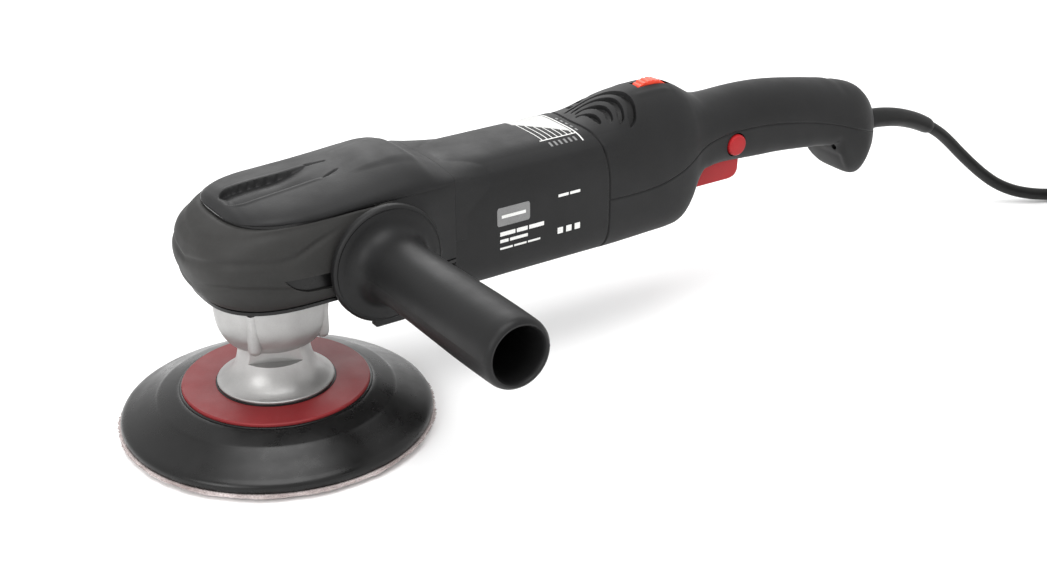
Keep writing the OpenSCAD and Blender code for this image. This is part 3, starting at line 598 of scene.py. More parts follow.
def dress_cad_nodes():
    """Every node that stays as CAD gets its slot's procedural finish."""
    for ob in nodes.values():
        given = [m.name.split(".")[0] for m in ob.data.materials if m]
        finish = next((SLOTS[s] for s in given if s in SLOTS), SLOTS["steel"])
        ob.data.materials.clear()
        ob.data.materials.append(finish)


# ---------- body sections ----------

# Rows of a body section: x, half width, bottom, the split between the halves, top, squareness of the top.
MOTOR = [[84, 30.4, 54.6, 84, 117.6, 3.5], [90, 30.2, 53.8, 84, 118.0, 3.6],
         [100, 30, 53.2, 84, 118.3, 3.7], [120, 30, 53.2, 84, 118.35, 3.7], [150, 30, 53.2, 84, 118.3, 3.7]]
REAR = [
    [168, 30.0, 53.2, 84.0, 118.4, 3.7], [175, 30.0, 53.2, 83.6, 118.9, 3.3],
    [182, 29.9, 53.2, 83.3, 121.0, 2.9], [190, 29.7, 53.3, 83.1, 124.6, 2.5],
    [198, 29.4, 53.4, 83.0, 127.4, 2.3], [206, 29.0, 53.5, 83.4, 128.7, 2.2],
    [213, 28.7, 53.4, 84.4, 129.2, 2.1], [220, 28.1, 53.4, 86.0, 129.3, 2.1],
    [226, 27.4, 54.0, 87.8, 128.8, 2.1], [231, 26.4, 56.4, 89.8, 127.6, 2.1],
    [236, 24.9, 62.6, 92.0, 125.6, 2.1], [240, 23.3, 70.8, 93.7, 123.2, 2.1],
    [245, 21.9, 77.6, 95.3, 120.0, 2.1], [251, 21.0, 79.0, 96.6, 116.8, 2.1],
    [258, 20.2, 79.4, 97.4, 115.4, 2.1], [266, 19.7, 79.0, 97.8, 115.2, 2.1],
    [277, 19.3, 78.0, 97.6, 115.6, 2.1], [288, 19.1, 77.2, 96.9, 115.6, 2.1],
    [300, 19.0, 76.6, 95.4, 114.9, 2.1], [312, 19.0, 75.5, 93.4, 113.4, 2.1],
    [324, 19.0, 74.2, 90.8, 111.4, 2.1], [335, 19.1, 72.8, 88.0, 109.4, 2.1],
    [341, 19.2, 71.8, 86.2, 108.2, 2.1], [347, 19.3, 70.6, 84.2, 107.0, 2.1],
    [350, 19.4, 62.4, 83.0, 106.2, 2.1], [354, 19.5, 55.2, 81.6, 105.2, 2.1],
    [359, 19.4, 51.0, 79.8, 103.8, 2.1], [364, 18.8, 50.2, 78.0, 102.2, 2.1],
    [368, 17.8, 53.0, 76.6, 100.4, 2.1], [372, 16.0, 57.8, 75.2, 97.4, 2.1],
    [376, 13.2, 63.2, 74.4, 93.0, 2.1], [379, 9.6, 66.8, 74.0, 87.0, 2.1],
    [380.4, 6.4, 69.0, 73.8, 82.0, 2.1]]
BODY = MOTOR + REAR
BOTTOM_POWER = 4.5
HEAD_END = 83.9
MOTOR_FRONT = 84
SEAM_TOP = 170.4
REAR_END = 380.4


def section(row, upper):
    """Half of a body section, from the near side over or under to the far side, as (y, z)."""
    _, half, bottom, split, top, power = row
    power = power if upper else BOTTOM_POWER
    rise = (top - split) if upper else (bottom - split)
    a = np.linspace(0, math.pi, 1601)
    a = a - np.sin(2 * a) / 2 * 0.9
    c, s = np.cos(a), np.sin(a)
    y = -half * np.sign(c) * np.abs(c) ** (2 / power)
    z = split + rise * np.abs(s) ** (2 / power)
    return np.stack([y, z], axis=1)


def seam_x(y):
    """Where the motor housing meets the rear housing: the joint line bows back on the sides."""
    return SEAM_TOP + 5.0 * np.clip(np.abs(y) / 30, 0, 1) ** 1.8


def lofted(x_low, x_high, shares, upper, columns):
    """Body grid at shares of the way between two ends; an end is a number or a function of y."""
    probe = resample(section(rows_at(BODY, 150), upper), columns)[:, 0]
    low = np.array([x_low(y) if callable(x_low) else x_low for y in probe], float)
    high = np.array([x_high(y) if callable(x_high) else x_high for y in probe], float)
    cache = {}

    def at(x, k):
        key = round(float(x), 2)
        if key not in cache:
            cache[key] = resample(section(rows_at(BODY, key), upper), columns)
        return cache[key][k]

    grid = [[(low[k] + u * (high[k] - low[k]), *at(low[k] + u * (high[k] - low[k]), k))
             for k in range(len(columns))] for u in shares]
    return np.array(grid)


# ---------- motor housing ----------

EDGE = (25.6, 111.8)


def upper_edge(y, z, reach=6.5, height=0.75):
    """The crisp long edge where the flat sides turn into the crowned top."""
    off = np.hypot(np.abs(y) - EDGE[0], z - EDGE[1])
    return height * np.clip(1 - off / reach, 0, 1)


def motor_surface(p):
    """Depth that the motor housing's surface is pushed out, in millimetres."""
    x, y, z = p[..., 0], p[..., 1], p[..., 2]
    return upper_edge(y, z) * step(x, 98, 110) - 1.3 * (1 - step(seam_x(y) - x, 0.0, 1.1))


def shoulder(top, columns):
    """Lets the top half of the motor housing grow out of the head, ending in a swept crease."""
    a = np.linspace(0.0001, math.pi - 0.0001, 1201)
    lid = lid_line(HEAD_END, a)
    wall = np.stack([np.full(60, -REAR_HALF), np.linspace(84, 114.6, 60)], axis=1)
    head = resample(np.concatenate([wall, lid, wall[::-1] * np.array([-1, 1])]), columns)
    y, z = np.abs(head[:, 0]), head[:, 1]
    reach = np.where(z > 112, 5 + 17 * step(y, 10, 27), 7 + 15 * step(z, 96, 112))
    share = np.clip(1 - (top[..., 0] - MOTOR_FRONT) / reach, 0, 1)
    top[..., 1] += (head[:, 0] - top[..., 1]) * share
    top[..., 2] += (head[:, 1] - top[..., 2]) * share
    return top


def make_motor_housing():
    columns = spacing(130)
    t = np.concatenate([np.linspace(0, 0.3, 32), np.linspace(0.315, 0.98, 44),
                        [0.985, 0.989, 0.993, 0.996, 1]])
    top = shoulder(lofted(MOTOR_FRONT, seam_x, t, True, columns), columns)
    low = lofted(MOTOR_FRONT, seam_x, t, False, columns)[:, ::-1]
    ring = np.concatenate([top, low[:, 1:-1]], axis=1)
    n = normals(ring, True, (len(ring) // 2, len(columns) // 2), (0, 0, 1))
    ring = ring + n * motor_surface(ring)[..., None]
    return walled("motor_shell", ring, n, 2.4, "body_plastic", ["motor_housing"], True)


# ---------- rear housing ----------

# Each crescent's centre in X, its two half axes, and half its width.
LOUVRES = [(181.0, 20.0, 17.6, 1.95), (180.6, 13.4, 14.4, 1.6), (179.4, 8.0, 11.2, 1.45),
           (176.4, 4.4, 8.0, 1.3)]
LOUVRE_Y = -8.2
LOUVRE_DEPTH = 2.4


def round_place(node):
    """A round node's centre and radius in X and Z, and its low and high end in Y, in millimetres."""
    low, high = (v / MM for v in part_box(node))
    return (low.x + high.x) / 2, (low.z + high.z) / 2, (high.x - low.x) / 2, low.y, high.y


DIAL = round_place("speed_dial")
BUTTON = round_place("lock_button")


def louvre_depth(x, y):
    """Nested crescent slots on each side of the hump."""
    y = np.where(y > 11.5, -y, y)
    total = np.zeros_like(x)
    for cx, ax, ay, wide in LOUVRES:
        u, v = (x - cx) / ax, (y - LOUVRE_Y) / ay
        angle = np.degrees(np.arctan2(v, u))
        turn = np.radians(angle)
        across = np.maximum(np.hypot(ay * np.cos(turn), ax * np.sin(turn)), 1e-6)
        off = (np.hypot(u, v) - 1) * (ax * ay) / across
        taper = step(angle, -52, -34) * (1 - 0.78 * step(angle, 8, 70)) * (1 - step(angle, 96, 118))
        half = wide * taper
        slot = (1 - step(np.abs(off), half - 0.28, half + 0.28)) * step(half, 0.05, 0.4)
        total = np.maximum(total, slot)
    return total * (x > 172)


def rear_surface(p, upper):
    """Depth that the rear housing's surface is pushed out, in millimetres."""
    x, y, z = p[..., 0], p[..., 1], p[..., 2]
    d = -1.3 * (1 - step(x - seam_x(y), 0.0, 1.1))
    if upper:
        rim = bump(np.abs(y), 9.0, 1.6) * step(x, 203, 210) * (1 - step(x, 224, 232))
        d = d + upper_edge(y, z) * (1 - step(x, 182, 203)) - LOUVRE_DEPTH * louvre_depth(x, y)
        d = d + 0.35 * rim + 0.25 * bump(x, 231.5, 2.4) * (1 - step(np.abs(y), 8, 15))
        d = d - 0.6 * bump(x, 352.5, 1.4) * (1 - step(np.abs(y), 10, 17)) * step(z, 97, 102)
    else:
        front = (1 - step(x, 352, 360)) * (x > 346)
        d = d - 1.1 * step(66.5 - z, 0, 2) * front * (1 - step(np.abs(y), 12, 17))
    return d


def seam_groove(grid, amount=0.42, width=0.75):
    """How deep the two halves' joint line is, by distance from the row's ends."""
    along = along_rows(grid)
    edge = np.minimum(along, along[:, -1:] - along)
    return -amount * (1 - step(edge, 0.0, width))


def cylinder_y(x, z, r, low, high, n=64):
    return prism(circle(x, z, r, n), low, high, "y")


def shade_vent_floors(ob):
    """Paints shade into the louvres: their floors take the near-black rubber finish, standing in for the
    shade inside the slots.
    """
    ob.data.materials.append(SLOTS["pad_rubber"])
    for f in ob.data.polygons:
        c = f.center / MM
        if 172 < c.x < 208 and c.z > 112:
            deep = float(louvre_depth(np.array([c.x]), np.array([c.y]))[0])
            # painted shade: louvre floors deeper than 0.8 turn near-black
            f.material_index = 1 if deep > 0.8 else 0


def make_rear_half(upper):
    columns = spacing(270 if upper else 80)
    long = REAR_END - SEAM_TOP
    if upper:
        xs = np.concatenate([[0, 0.3, 0.6, 1.0], np.arange(1.5, 36, 0.34), np.arange(36, 78, 1.0),
                             np.arange(78, long - 12, 2.5), np.arange(long - 12, long, 0.8), [long]])
    else:
        xs = np.concatenate([[0, 0.3, 0.6, 1.0], np.arange(2, 60, 2.0), np.arange(60, 80, 1.0),
                             np.arange(80, 174, 2.5), np.arange(174, long, 0.8), [long]])
    grid = lofted(seam_x, REAR_END, xs / long, upper, columns)
    n = normals(grid, False, (len(grid) // 3, len(columns) // 2), (0, 0, 1 if upper else -1))
    grid = grid + n * (rear_surface(grid, upper) + seam_groove(grid))[..., None]
    if not upper:
        grid[..., 2] -= 0.06
    half = "upper" if upper else "lower"
    end = grid[-1].mean(axis=0)
    cap = np.array([end + (grid[-1] - end) * k for k in (0.75, 0.4, 0.02)])
    cap[..., 0] += np.array([0.25, 0.4, 0.45])[:, None]
    grid = np.concatenate([grid, cap])
    n = np.concatenate([n, np.tile(np.array([1.0, 0, 0]), (3, n.shape[1], 1))])
    ob = walled("rear_shell_" + half, grid, n, 2.4, "body_plastic", ["rear_housing_" + half])
    cut(ob, *cylinder_y(BUTTON[0], BUTTON[1], BUTTON[2] + 0.8, -30, -12))
    if upper:
        cut(ob, *cylinder_y(DIAL[0], DIAL[1], DIAL[2] + 1.3, DIAL[3] - 0.9, DIAL[4] + 0.9, 96))
        shade_vent_floors(ob)
    else:
        slot = rounded([(246.6, 50), (280.6, 50), (280.6, 84), (246.6, 84)], 1.2, 3)
        cut(ob, *prism(slot, -9.5, 9.5, "y"))
        for y in (-11, 11):
            cut(ob, *prism(circle(y, 69.4, 1.9, 32), 344, 352.5, "x"))
    return ob


# ---------- head ----------

# The bumper's height, the X of its nose and its half width; the lid's X, half width and top.
HEAD = [[75, -33.6, 36], [79, -37, 38], [85, -39.4, 39.3], [93, -40.6, 39.8], [101, -39.8, 39.2],
        [107, -36.8, 37.6], [111.5, -31.6, 35.6], [114.7, -25.4, 34.2]]
LID = [[-24.6, 13, 115.6], [-22.5, 19, 117.4], [-18, 25, 119.2], [-11, 30, 120.4], [-2, 33, 121.2],
       [12, 34, 122], [28, 34, 123.4], [42, 34, 125], [54, 34, 126.4], [64, 33.8, 127], [70, 33.4, 125.8],
       [76, 32.8, 122], [81, 32, 119.8], [83.9, 31.4, 119.2]]
LID_FOOT = 114.95
REAR_HALF = 31
BUMPER_END = 44
NOSE_POWER = 2.7


def head_line(nose, half):
    """The head's outline at one height, from the near side's rear end round the nose."""
    near = curved([(HEAD_END, -REAR_HALF), (74, -REAR_HALF - 0.3 * (half - REAR_HALF)),
                   (62, -REAR_HALF - 0.85 * (half - REAR_HALF)), (50, -half), (28, -half)], 8)
    a = np.radians(np.linspace(270, 90, 241))
    c, s = np.cos(a), np.sin(a)
    arc = np.stack([8 - (8 - nose) * np.abs(c) ** (2 / NOSE_POWER),
                    half * np.sign(s) * np.abs(s) ** (2 / NOSE_POWER)], axis=1)
    near = np.array(near)
    far = near[::-1] * np.array([1, -1])
    return np.concatenate([near[:-1], arc, far[1:]])


# Each soft crease: its height by distance round from the nose, its depth and its width.
CREASES = [
    ([(-80, 110), (-68, 105.4), (-61, 101.9), (-53, 100.6), (-39, 101.6), (-25, 101), (-9, 98.5), (0, 96.5)],
     0.85, 2.0),
    ([(-80, 84), (-60, 85.6), (-45, 88.6), (-27, 89.6), (-12, 86), (0, 82.5)], 0.7, 2.4),
    ([(-60, 114), (-40, 112.6), (-20, 109.6), (0, 107)], 0.5, 2.2),
]


def bumper_surface(x, z, round_nose):
    """Soft ripples over the rubber bumper: full at the nose and fading along the sides."""
    u = -np.abs(round_nose)
    d = np.zeros_like(u)
    fade = 1 - step(-u, 66, 80)
    for line, depth, wide in CREASES:
        us, zs = zip(*line)
        centre = np.interp(u, us, zs)
        under = bump(z, centre - 0.2 * wide, wide) * (z < centre)
        over = bump(z, centre, 0.45 * wide) * (z >= centre)
        d = d - depth * (under + over) * fade
    d = d + 0.45 * bump(z, 93.5, 4.5) * fade
    d = d - 0.6 * (1 - step(z, 75, 76.6)) - 0.9 * step(z, 113.5, 114.7) * (1 - step(x, 40, 46))
    return d


def make_bumper():
    """The rubber bumper round the nose, and the two shoulders behind it."""
    zs = np.concatenate([[75, 75.4, 76, 76.6], np.arange(77.2, 113.4, 0.6), [113.6, 114.0, 114.4, 114.7]])
    count = 260
    grid = []
    for z in zs:
        _, nose, half = rows_at(HEAD, z)
        line = resample(head_line(nose, half), np.linspace(0, 1, count))
        grid.append([(px, py, z) for px, py in line])
    grid = np.array(grid)
    n = normals(grid, False, (len(zs) // 2, count // 2), (-1, 0, 0))
    along = along_rows(grid)
    round_nose = along - along[:, -1:] / 2
    grid = grid + n * bumper_surface(grid[..., 0], grid[..., 2], round_nose)[..., None]
    k = int(np.argmin(np.abs(grid[len(zs) // 2, :count // 2, 0] - BUMPER_END)))
    for name, part in (("near", slice(0, k + 1)), ("far", slice(count - k - 1, count))):
        walled("head_shoulder_" + name, grid[:, part], n[:, part], 2.8, "body_plastic", crease=50)
    ob = walled("head_bumper_skin", grid[:, k:count - k], n[:, k:count - k], 2.8, "bumper_rubber",
                ["head_bumper"], crease=50)
    wedge = rounded([(-10.4, 91.2), (24, 89.6), (24, 81.4), (1.5, 82.7), (-4.8, 85.4)],
                    [1.2, 0.4, 0.4, 4, 4], 6)
    for side in (-1, 1):
        low, high = sorted((side * 36.9, side * 46))
        cut(ob, *prism(wedge, low, high, "y"), crease=50)
    return ob


def make_vent_shade_plates():
    """A near-black plate behind the wedge slot in each side of the bumper, painted shade that keeps the slot
    dark.
    """
    for side, name in ((-1, "near"), (1, "far")):
        outline = rounded([(-9.6, 90.8), (23, 89.2), (23, 81.8), (1.8, 83.1), (-4.4, 85.6)],
                          [1, 0.4, 0.4, 4, 4], 6)
        low, high = sorted((side * 36.0, side * 37.25))
        # painted shade: the plate's near-black finish stands for the dark inside of the slot
        piece("side_vent_" + name, *prism(outline, low, high, "y"), "housing", "pad_rubber")


def scoop_half(x):
    """Half width of the teardrop scoop in the lid."""
    front = np.sqrt(np.clip(1 - ((-12.5 - x) / 8.2) ** 2, 0, 1)) * (x < -12.5) + (x >= -12.5)
    return 9.6 * front * (1 - 0.16 * step(x, -8, 24)) + 3.4 * step(x, 22, 37)


def lid_line(x, a):
    """The lid's outline at x, at angles a from one side over to the other, as (y, z)."""
    _, half, top = rows_at(LID, x)
    c, s = np.cos(a), np.sin(a)
    return np.stack([-half * np.sign(c) * np.abs(c) ** 0.9, LID_FOOT + (top - LID_FOOT) * s ** 0.95], axis=1)


def lid_surface(p):
    """How far the lid's surface is moved up, in millimetres."""
    x, y = p[..., 0], p[..., 1]
    half = scoop_half(x)
    deep = 3.5 * step(x, -20.6, -15.5) * (1 - step(x, 4, 34))
    d = -deep * (1 - step(np.abs(y), half - 0.8, half + 0.3)) * (1 - 0.35 * bump(y, 0, 0.55 * half + 0.1))
    d = d + 0.3 * bump(np.abs(y), half + 1.3, 1.1) * step(x, -20, -14) * (1 - step(x, 20, 30))
    slit = bump(np.abs(y), 9.6 - 0.32 * (x - 25), 0.55) * step(x, 25, 27) * (1 - step(x, 34, 36.5))
    d = d - 0.9 * slit
    ridge = 1 - step(np.abs(y), 11.5, 15.5 + 0.15 * np.clip(x - 40, 0, 40))
    d = d + 0.55 * ridge * step(x, 36, 50) * (1 - step(x, 70, 77))
    return d


def make_lid():
    xs = np.concatenate([[-24.6, -24.2, -23.6], np.arange(-23, 40, 0.6), np.arange(40, HEAD_END, 1.0),
                         [HEAD_END]])
    columns = spacing(150)
    a = np.linspace(0, math.pi, 1201)
    grid = np.array([[(x, q[0], q[1]) for q in resample(lid_line(x, a), columns)] for x in xs])
    grid[..., 2] += lid_surface(grid)
    inner = grid.copy()
    inner[..., 2] = 114.75
    return shell("head_lid", grid, inner, "housing", "body_plastic", ["head_top_cover"], crease=50)


# ---------- seams and gaskets ----------

def make_seam_shade_ring():
    """A near-black ring set into the groove where the motor housing meets the rear housing: painted shade in
    the joint.
    """
    columns = spacing(60)
    half = 1.2
    top, low = (lofted(lambda y: seam_x(y) - half, lambda y: seam_x(y) + half, np.linspace(0, 1, 5), upper,
                       columns) for upper in (True, False))
    ring = np.concatenate([top, low[:, ::-1][:, 1:-1]], axis=1)
    n = normals(ring, True, (2, len(columns) // 2), (0, 0, 1))
    # painted shade: the ring sits 0.75 mm under the surface so only the groove shows it
    return walled("motor_seam", ring - n * 0.75, n, 1.4, "pad_rubber", closed=True)


def band(line, heights):
    """A line of (x, y) points repeated at heights, with its normals facing forward at the nose."""
    grid = np.array([[(p[0], p[1], z) for p in line] for z in heights])
    return grid, normals(grid, False, (1, len(line) // 2), (-1, 0, 0))


def make_lid_joint_shade():
    """A near-black band set into the groove between the lid and the bumper: painted shade in the joint."""
    line = head_line(-25.9, 34.4)
    line = resample(line[line[:, 0] < BUMPER_END - 3], np.linspace(0, 1, 200))
    grid, n = band(line, (113.9, 114.5, 115.15))
    # painted shade: the band sits 0.5 mm back inside the groove
    return walled("lid_seam", grid - n * 0.5, n, 1.6, "pad_rubber")


def make_lip():
    """The black gasket edge that shows under the bumper."""
    line = resample(head_line(-33.9, 36.2), np.linspace(0, 1, 220))
    grid, n = band(line, (73.7, 74.4, 75.3))
    return walled("bumper_lip", grid + n * 0.1, n, 2.2, "pad_rubber")


# ---------- side handle ----------

HANDLE = (40, 89)


def make_handle():
    """Flange, collar and hollow grip turned as one moulding."""
    profile = [
        (4.1, 40.9), (28.0, 40.9), (28.5, 41.4), (28.5, 43.6), (28.2, 44.3), (27.2, 44.9), (26.6, 44.7),
        (26.0, 45.1), (23.5, 45.5), (21.4, 45.9), (20.3, 46.5), (19.2, 47.4), (18.3, 48.5), (17.4, 50),
        (16.7, 52), (16.2, 54.5), (15.9, 58), (15.75, 64), (15.7, 70), (15.85, 82), (16.1, 95),
        (16.35, 108), (16.55, 120), (16.55, 132), (16.45, 143), (16.3, 148.6), (15.9, 150.2), (15.2, 151.3),
        (14.3, 151.9), (13.5, 151.8), (12.95, 151.1), (12.7, 149), (12.55, 120), (12.4, 74), (11.9, 72),
        (10.8, 71), (4.1, 70.4), (4.1, 55)]

    def mould_line(r, h, angle):
        off = abs((math.degrees(angle) + 90) % 180 - 90)
        if h > 44 and r > 15 and off < 2.6:
            r += 0.12 * (1 - off / 2.6)
        return r, h

    place = lambda u, v, h: (HANDLE[0] + u, -h, HANDLE[1] + v)
    grip = piece("side_handle", *lathe(profile, place, 180, mould_line), "housing", "grip_plastic",
                 ["side_handle_grip"], 40)
    tab = rounded([(31.4, 58.9), (52.6, 58.9), (52.6, 72), (31.4, 72)], [1.4, 1.4, 0.2, 0.2], 4)
    bevelled(piece("side_handle_tab", *prism(tab, -44.6, -40.9, "y"), "housing", "grip_plastic"), 0.5)
    return grip


# ---------- pad ----------

def make_pad():
    """The rubber disc, its red ring, and thin near-black rings in the gaps inside and outside the red ring,
    painted shade in those gaps.
    """
    disc = [
        (20, 3.4), (74.0, 3.4), (74.7, 3.7), (75.0, 4.5), (75.0, 6.0), (74.8, 6.8), (74.2, 7.7), (73.4, 8.3),
        (72.6, 8.8), (71.6, 9.3), (70.0, 9.95), (66.5, 11.7), (62.5, 13.7), (58.4, 15.6), (57.4, 16.25),
        (56.8, 16.7), (55.8, 17.1), (52.0, 18.5), (48.5, 19.7), (46.4, 20.4), (45.8, 20.35), (45.4, 19.8),
        (34, 19.7), (34, 8), (20, 8)]

    def settle(r, h, angle):
        if r > 46:
            h += 0.10 * math.sin(3 * angle + 1) * (r - 46) / 29
        return r, h

    piece("backing_pad", *lathe(disc, upright(0, 0), 240, settle), "spindle", "pad_rubber", ["pad_disc"], 30)
    ring = [(27, 19.9), (44.6, 19.9), (45, 20.2), (45, 21.9), (44.5, 22.4), (28.9, 22.4), (28.3, 22.0),
            (27, 22.0)]
    piece("pad_red_ring", *lathe(ring, upright(0, 0), 200), "spindle", "red_ring", ["pad_ring"], 30)
    # painted shade: near-black ring in the gap between the red ring and the disc
    groove = [(44.9, 20.0), (46.3, 20.0), (46.3, 20.75), (45.9, 21.0), (45.2, 21.0)]
    piece("ring_gap_shade", *lathe(groove, upright(0, 0), 200), "spindle", "pad_rubber")
    # painted shade: near-black ring in the gap between the hub and the red ring
    inner = [(28.05, 22.0), (28.75, 22.0), (28.75, 22.55), (28.05, 22.75)]
    piece("hub_gap_shade", *lathe(inner, upright(0, 0), 200), "spindle", "pad_rubber")


def turned_points(points, degrees):
    """Points turned about the spindle's axis."""
    c, s = math.cos(math.radians(degrees)), math.sin(math.radians(degrees))
    return [(x * c - y * s, x * s + y * c, z) for x, y, z in points]


def make_hub():
    """Flared foot, waisted neck and two spanner flats."""
    foot = curved([(27.7, 24.1), (26.0, 24.75), (23.6, 26.2), (21.2, 28.6), (19.4, 31.6), (18.2, 35),
                   (17.4, 38.6), (17.05, 41), (17.0, 43.6)], 5)
    profile = [(7, 12.1), (26, 12.1), (26, 22.9), (27.8, 22.9), (28.0, 23.2), (28.0, 23.8)] + foot
    profile += [(16.5, 44.2), (7, 44.2)]
    hub = piece("pad_hub_turned", *lathe(profile, upright(0, 0), 200), "spindle", "cast_alloy",
                ["pad_hub"], 40)
    for side in (-1, 1):
        low, high = sorted((side * 12.2, side * 24))
        points, faces = prism([(-20, 36.9), (20, 36.9), (20, 46), (-20, 46)], low, high, "y")
        cut(hub, turned_points(points, -23), faces, 40)
    return hub


def make_flange():
    """Cast bowl under the head, with four screw columns and their pockets; each pocket floor is a near-black
    plate, the screw head darkened with painted shade.
    """
    wall = curved([(19.4, 45.75), (21.6, 46.6), (24.0, 49.6), (25.8, 53.6), (26.8, 58.4), (27.25, 64),
                   (27.4, 70), (27.4, 75.1)], 5)
    profile = [(13.6, 45.6), (18.6, 45.6)] + wall + [(20, 75.1), (16.1, 72), (16.1, 56), (13.6, 56)]
    bowl = piece("flange_bowl", *lathe(profile, upright(0, 0), 200), "housing", "cast_alloy",
                 ["spindle_flange"], 40)
    column = [(0.02, 47.0), (1.5, 47.2), (2.7, 48.1), (3.3, 49.8), (3.3, 71.4), (0.02, 71.4)]
    pocket = [(4.4 * math.cos(math.pi * i / 16), 72.4 - 4.4 * math.sin(math.pi * i / 16)) for i in range(17)]
    for i, degrees in enumerate((45, 135, 225, 315)):
        points, faces = lathe(column, upright(24.6, 0), 40)
        rib = piece(f"flange_column_{i}", turned_points(points, degrees), faces, "housing", "cast_alloy",
                    crease=40)
        points, faces = prism(pocket, 24.2, 33, "x")
        for ob in (bowl, rib):
            cut(ob, turned_points(points, degrees), faces, 40)
        # Near-black plate at each pocket's floor: the screw head, darkened past its steel as painted shade.
        floor = [(0.96 * y, 72.3 + 0.96 * (z - 72.3)) for y, z in pocket]
        points, faces = prism(floor, 22.6, 24.4, "x")
        piece(f"screw_head_and_shade_{i}", turned_points(points, degrees), faces, "housing", "pad_rubber")
    return bowl


HOOKS = 5200


def make_hooks():
    """The hook face with a ragged rim of short hooks."""
    face = [(8, 0.35), (70.5, 0.35), (73.6, 0.9), (75.4, 1.7), (75.9, 2.6), (75.7, 3.4), (8, 3.4)]

    def ragged(r, h, angle):
        if r > 72:
            r += 0.25 * math.sin(17 * angle) + 0.18 * math.sin(41 * angle + 2) + 0.12 * math.sin(97 * angle)
        return r, h

    points, faces = lathe(face, upright(0, 0), 360, ragged)
    points, faces = list(points), list(faces)
    for _ in range(HOOKS):
        angle = random.uniform(0, 2 * math.pi)
        low = random.random()
        r = 71.0 + 4.9 * low ** 0.5 + 0.25 * math.sin(17 * angle)
        h = 0.45 + 2.6 * max(0, (r - 71) / 4.9) ** 2
        lean = random.uniform(-0.5, 0.5)
        out = random.uniform(0.35, 0.95)
        start = len(points)
        c, s = math.cos(angle), math.sin(angle)
        wide = 0.16
        for rr, hh, side in ((r - 0.2, h + 0.2, 0), (r + out * 0.6, h - 0.05, lean * 0.5),
                             (r + out, h + 0.35, lean)):
            hh = max(hh, 0.05)
            rr = min(rr, 76.9)
            for k in (-wide, wide):
                points.append((rr * c - (side + k) * s, rr * s + (side + k) * c, hh))
            points.append((rr * c - side * s, rr * s + side * c, hh + wide * 1.4))
        for k in (0, 3):
            faces += [(start + k + a, start + k + b, start + k + 3 + b, start + k + 3 + a)
                      for a, b in ((0, 1), (1, 2), (2, 0))]
        faces += [(start, start + 2, start + 1), (start + 6, start + 7, start + 8)]
    piece("hook_face", points, faces, "spindle", "hook_loop", ["pad_hook_face"], 40)


# ---------- controls ----------

def make_trigger():
    side = [(247.4, 80), (247.2, 73.4), (247.5, 67.6), (248.6, 66.4), (272.6, 66.3), (276.2, 67.3),
            (278.1, 69.8), (278.4, 76), (278.4, 83), (257, 83), (255.6, 86), (252, 87.4), (248.8, 86)]
    outline = rounded(side, [0.3, 0.4, 1.5, 2, 3, 2, 2, 0.5, 0.4, 0.4, 1, 1.4, 1.2], 4)
    ob = piece("trigger_lever", *prism(outline, -8.8, 8.8, "y"), "trigger", "red_plastic", ["trigger"])
    return bevelled(ob, 1.1, 4)


def make_button():
    x, z, r = BUTTON[:3]
    profile = [(0.05, -21.4), (r - 1.6, -21.4), (r - 0.7, -21.2), (r - 0.15, -20.6), (r, -19.8), (r, -15.2),
               (3, -15.2), (3, -12.4), (0.05, -12.4)]
    place = lambda u, v, h: (x + u, h, z + v)
    piece("lock_button_cap", *lathe(profile, place, 72), "lock_button", "red_plastic", ["lock_button"], 30)


def make_dial():
    x, z, r, low, high = DIAL
    n = 240
    outline = []
    for i in range(n):
        a = 2 * math.pi * i / n
        rib = 0.5 * (1 - abs(math.sin(15 * a)) ** 6)
        outline.append((x + (r - 0.5 + rib) * math.cos(a), z + (r - 0.5 + rib) * math.sin(a)))
    plate = holed(outline, circle(x, z, 2.1, n), low, high)
    return piece("dial_wheel", *plate, "speed_dial", "dial_red", ["speed_dial"], 50)


# ---------- cord fittings ----------

def make_guard(count=32):
    """Tapered rubber guard that bends with the first stretch of the lead."""
    path = smooth_path(LEAD[:7], 6)
    radii = np.interp(np.linspace(0, 6, len(path)), range(7), [5.9, 5.8, 5.7, 5.5, 5.3, 5.1, 4.8])
    radii[-1] -= 0.7
    radii[-2] -= 0.2
    outer = rings_along(path, radii, count)
    inner = rings_along(path, [CORD_D / 2 + 0.04] * len(path), count)
    rings = np.concatenate([outer, inner[::-1], outer[:1]])[:-1]
    total = len(rings)
    faces = [(i * count + j, i * count + (j + 1) % count, (i + 1) % total * count + (j + 1) % count,
              (i + 1) % total * count + j) for i in range(total) for j in range(count)]
    return piece("cord_guard", rings.reshape(-1, 3), faces, "housing", "cord_rubber", ["strain_relief"], 50)


def make_tie():
    """A flat strap round the bundle."""
    x, y = COIL[0] - 40, COIL[1]
    outer = rounded([(x - 11.9, 0.05), (x + 11.9, 0.05), (x + 11.9, 29.9), (x - 11.9, 29.9)], 3.4, 6)
    inner = rounded([(x - 10.9, 0.3), (x + 10.9, 0.3), (x + 10.9, 28.9), (x - 10.9, 28.9)], 2.9, 6)
    plate = holed(outer, inner, y - 3, y + 3)
    return piece("coil_strap", *plate, "housing", "cord_rubber", ["cord_tie"], 40)


# ---------- printed marks ----------

def side_y(z):
    """How far out the motor housing's flat side is at a height."""
    _, half, bottom, split, top, power = rows_at(BODY, 130)
    reach, power = (top - split, power) if z > split else (split - bottom, BOTTOM_POWER)
    return half * (1 - min(0.999, abs(z - split) / reach) ** power) ** (1 / power)


def top_z(x, y):
    """How high the motor housing's top is at a place."""
    _, half, _, split, top, power = rows_at(BODY, x)
    return split + (top - split) * (1 - min(0.999, abs(y) / half) ** power) ** (1 / power)


def on_side(u, v, out):
    return (u, -side_y(v) - out, v)


def on_top(u, v, out):
    here = top_z(u, v)
    slope = (top_z(u, v + 0.1) - top_z(u, v - 0.1)) / 0.2
    k = 1 / math.hypot(1, slope)
    return (u, v - slope * k * out, here + k * out)


